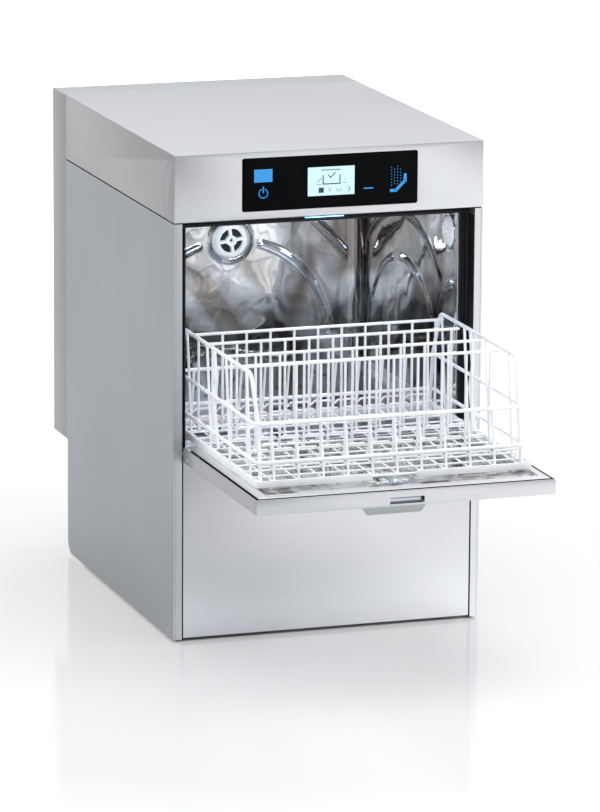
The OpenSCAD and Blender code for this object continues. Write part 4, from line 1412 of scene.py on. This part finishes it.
def inlet_fitting():
    """Water inlet: valve body, coil, collar and threaded stub."""
    valve = Box("inlet_valve")
    x, y, z = -150, deep(501), 105
    bore, root_r, crest_r, pitch = 8, 12.2, 13.2, 1.8
    stub = [(bore, 0), (crest_r, 0)]
    for turn in range(7):
        stub += [(root_r, 1.0 + pitch * turn), (crest_r, 1.9 + pitch * turn)]
    stub += [(12.4, 14.6), (11.6, 15), (bore, 15)]
    collar = [(bore - 0.1, -4), (root_r, -4), (root_r, 1), (bore - 0.1, 1)]
    coil = [(0, 0), (13.4, 0), (14, 1), (14, 27), (12.5, 29), (0, 29)]
    shape = Shape().block(valve.low, (valve.x1, deep(498.5), z + 18), 2.5)
    for outline in (stub, collar):
        shape.lathe(outline, (x, y, z), BACK, 40, closed=True)
    shape.lathe(coil, (x, deep(465), z + 17), UP, 32)
    piece("inlet_fitting", "cabinet", BRASS, shape, ("inlet_valve",), smooth=30)


def drain_spigot():
    """Drain outlet: flange, neck and five hose barbs."""
    drain = Box("drain_outlet")
    bore, pitch = 7, 4.6
    outline = [(bore, 0), (15, 0), (15, 29.5), (9, 31), (9, 40.6)]
    for barb in range(5):
        outline += [(10, 41.6 + pitch * barb), (9.2, 45.4 + pitch * barb)]
    outline += [(9.4, 65.2), (8.8, 65.8), (bore, 65.8)]
    x, _, z = drain.middle
    spigot = Shape().lathe(outline, (x, drain.y0, z), BACK, 40, closed=True)
    piece("drain_spigot", "cabinet", PUMP_PLASTIC, spigot, ("drain_outlet",), smooth=30)


def gland_nut():
    """Cable gland: body, ribbed nut and tapered collar."""
    gland = Box("cable_gland")
    x, _, z = gland.middle
    y = gland.y0
    body = [(6, 0), (12, 0), (13, 1), (13, 14), (8.5, 14.5), (8.5, 16.6), (6, 16.6)]
    nut = [(6, 16.4), (13, 16.4), (13, 24), (11.5, 25), (11.5, 30), (10.5, 33.2), (6, 34)]
    shape = Shape()
    for outline in (body, nut):
        shape.lathe(outline, (x, y, z), BACK, 36, closed=True)
    for rib_x, rib_z in arc((x, z), 12.9, 0, 330, 11):
        shape.tube([(rib_x, y + 17.4, rib_z), (rib_x, y + 23.4, rib_z)], 0.9, 8)
    piece("gland_nut", "cabinet", BLACK_NYLON, shape, ("cable_gland",), smooth=30)


# ---- stage -----------------------------------------------------------------

def floor():
    """A glossy floor: pale to the camera, graded in reflections, with a painted shadow under the machine.
    """
    look = Look("pale_floor", {"Base Color": (0.62, 0.62, 0.62), "Emission Color": (1, 1, 1)})
    camera_ray = look.nodes.new("ShaderNodeLightPath").outputs["Is Camera Ray"]
    other_ray = look.math("SUBTRACT", 1.0, camera_ray)
    seen = look.spread(look.distance(), 0.23, 1.0, 0.9, 2.6)
    mirrored = look.spread(look.along((1, 0.333, 0)), 0.15, 0.47, -0.14, 0.17)
    # Bands across the floor: a bright one before the cabinet, a dim one beyond the door.
    for before, strength, full, end in ((0.22, 0.25, 0.02, 0.16), (0.85, -0.12, 0.1, 0.5)):
        off = look.math("ABSOLUTE", look.math("ADD", look.along((0, 1, 0)), before), 0.0)
        mirrored = look.math("ADD", mirrored, look.spread(off, strength, 0.0, full, end))
    glow = look.math(
        "ADD", look.math("MULTIPLY", seen, camera_ray), look.math("MULTIPLY", mirrored, other_ray)
    )
    # The machine's footprint, where the floor doesn't glow: a painted contact shadow.
    half_width, half_depth, middle_y, soft = 0.222, 0.264, 0.13, 0.004
    across = look.math("ABSOLUTE", look.along((1, 0, 0)), 0.0)
    lengthways = look.math(
        "ABSOLUTE", look.math("SUBTRACT", look.along((0, 1, 0)), middle_y), 0.0
    )
    clear = look.math(
        "MAXIMUM", look.spread(across, 0, 1, half_width, half_width + soft),
        look.spread(lengthways, 0, 1, half_depth, half_depth + soft),
    )
    look.set({
        "Roughness": look.spread(look.noise(2.0, detail=4), 0.08, 0.12),
        "Emission Strength": look.math("MULTIPLY", glow, clear),
    })
    half, below_feet = 60 / MM, 0.4
    shape = Shape().grid([-half, half], [-half, half], lambda x, y: Vector((x, y, -below_feet)))
    bmesh.ops.scale(shape.bm, vec=(MM, MM, MM), verts=shape.bm.verts)
    plane = shape.object("studio_floor")
    plane.data.materials.append(look.material)


def area_light(name, place, target, size, power, colour=(1, 1, 1), mirrored=True):
    """A rectangular lamp aimed at a target, in metres; `mirrored` shows it in reflections."""
    light = bpy.data.lights.new(name, "AREA")
    light.shape = "RECTANGLE"
    light.size, light.size_y = size
    light.energy = power
    light.color = colour
    lamp = bpy.data.objects.new(name, light)
    lamp.location = place
    lamp.rotation_euler = (Vector(target) - Vector(place)).to_track_quat("-Z", "Y").to_euler()
    lamp.visible_camera = False
    lamp.visible_glossy = mirrored
    bpy.context.scene.collection.objects.link(lamp)


def studio_world():
    """White to the camera; to reflections a soft room with the zones listed below."""
    world = bpy.data.worlds.new("studio")
    bpy.context.scene.world = world
    world.use_nodes = True
    sky = Graph(world.node_tree, "Generated")

    def facing(direction, low, high):
        """1 towards a direction, falling to 0 between two cosines."""
        ramp = sky.spread(sky.along(Vector(direction).normalized()), 0, 1, low, high)
        ramp.node.interpolation_type = "SMOOTHSTEP"
        return ramp

    def background(colour, strength):
        """Light of a colour."""
        node = sky.nodes.new("ShaderNodeBackground")
        sky.join(colour, node.inputs["Color"])
        node.inputs["Strength"].default_value = strength
        return node.outputs[0]

    walls, ceiling = (0.85, 0.86, 0.87), (1.2, 1.21, 1.23)
    room = sky.tint(facing((0, 0, 1), 0.0, 0.9), walls, ceiling)
    zones = (
        ((0.75, -0.55, 0.35), 0.6, 0.95, (0.86, 0.86, 0.87)),  # even grey to the front right
        ((0.0, -1.0, 0.25), 0.70, 0.86, (0.05, 0.042, 0.036)),  # dark in front
        ((0.30, -1.0, 0.20), 0.975, 0.985, (1.5, 1.5, 1.5)),  # window in the dark, right
        ((-0.45, -1.0, 0.35), 0.98, 0.988, (1.2, 1.2, 1.2)),  # window in the dark, left
        ((0.05, -1.0, 0.75), 0.95, 0.975, (0.35, 0.6, 1.0)),  # blue patch high in front
    )
    for direction, edge, full, colour in zones:
        room = sky.tint(facing(direction, edge, full), room, colour)
    choose = sky.nodes.new("ShaderNodeMixShader")
    camera_ray = sky.nodes.new("ShaderNodeLightPath").outputs["Is Camera Ray"]
    lights = (camera_ray, background(room, 0.9), background((1, 1, 1), 1.0))
    for value, socket in zip(lights, choose.inputs):
        sky.join(value, socket)
    sky.join(choose.outputs[0], sky.nodes["World Output"].inputs["Surface"])


def camera():
    """Long lens from the front left, a little above the machine."""
    heading, pitch, roll = 0.324397, 0.221042, 0.006508
    stand = (-2.35503, -7.01730, 1.96171)
    data = bpy.data.cameras.new("camera")
    data.lens = 232.9
    data.sensor_width = 36
    data.clip_end = 200
    shot = bpy.data.objects.new("camera", data)
    turn = (Matrix.Rotation(-heading, 4, "Z") @ Matrix.Rotation(math.pi / 2 - pitch, 4, "X")
            @ Matrix.Rotation(roll, 4, "Z"))
    shot.matrix_world = Matrix.Translation(stand) @ turn
    bpy.context.scene.collection.objects.link(shot)
    bpy.context.scene.camera = shot


def stage():
    """Floor, room, two big lamps, the status light's glow, a lamp in the chamber, camera."""
    floor()
    studio_world()
    area_light("key_light", (2.6, -2.4, 2.4), (0, 0, 0.4), (2.0, 2.0), 42, mirrored=False)
    area_light("top_light", (0.2, 0.2, 3.2), (0, 0, 0), (2.6, 2.6), 40, mirrored=False)
    bar = [c * MM for c in (0, deep(42), Box("top_hood").z0 - 12)]
    area_light("status_glow", bar, (0, bar[1] + 0.25, 0.3), (0.10, 0.01), 0.25, (0.35, 0.6, 1.0))
    inside = [c * MM for c in (60, deep(150), Box("chamber_roof").z0 - 45)]
    area_light("chamber_glow", inside, (-0.05, inside[1] + 0.2, 0.2), (0.14, 0.03), 0.7, (0.9, 0.96, 1.0))
    camera()
    bpy.context.scene.view_settings.view_transform = "Standard"


# ---- build -----------------------------------------------------------------

finish_cad_nodes()
side_skin(-1)
side_skin(1)
for build in (
    hood_shell, rear_cover, service_cover, opening_seal, chamber_liner, vents, control_panel,
    light_bar, door_shell, door_tray, grip_lip, screws, edge_strips, base_grid, hoop_wires,
    rim_wires, wall_uprights, divider_fences, slide_rod, spray_arms, feet, inlet_fitting,
    drain_spigot, gland_nut, stage,
):
    build()
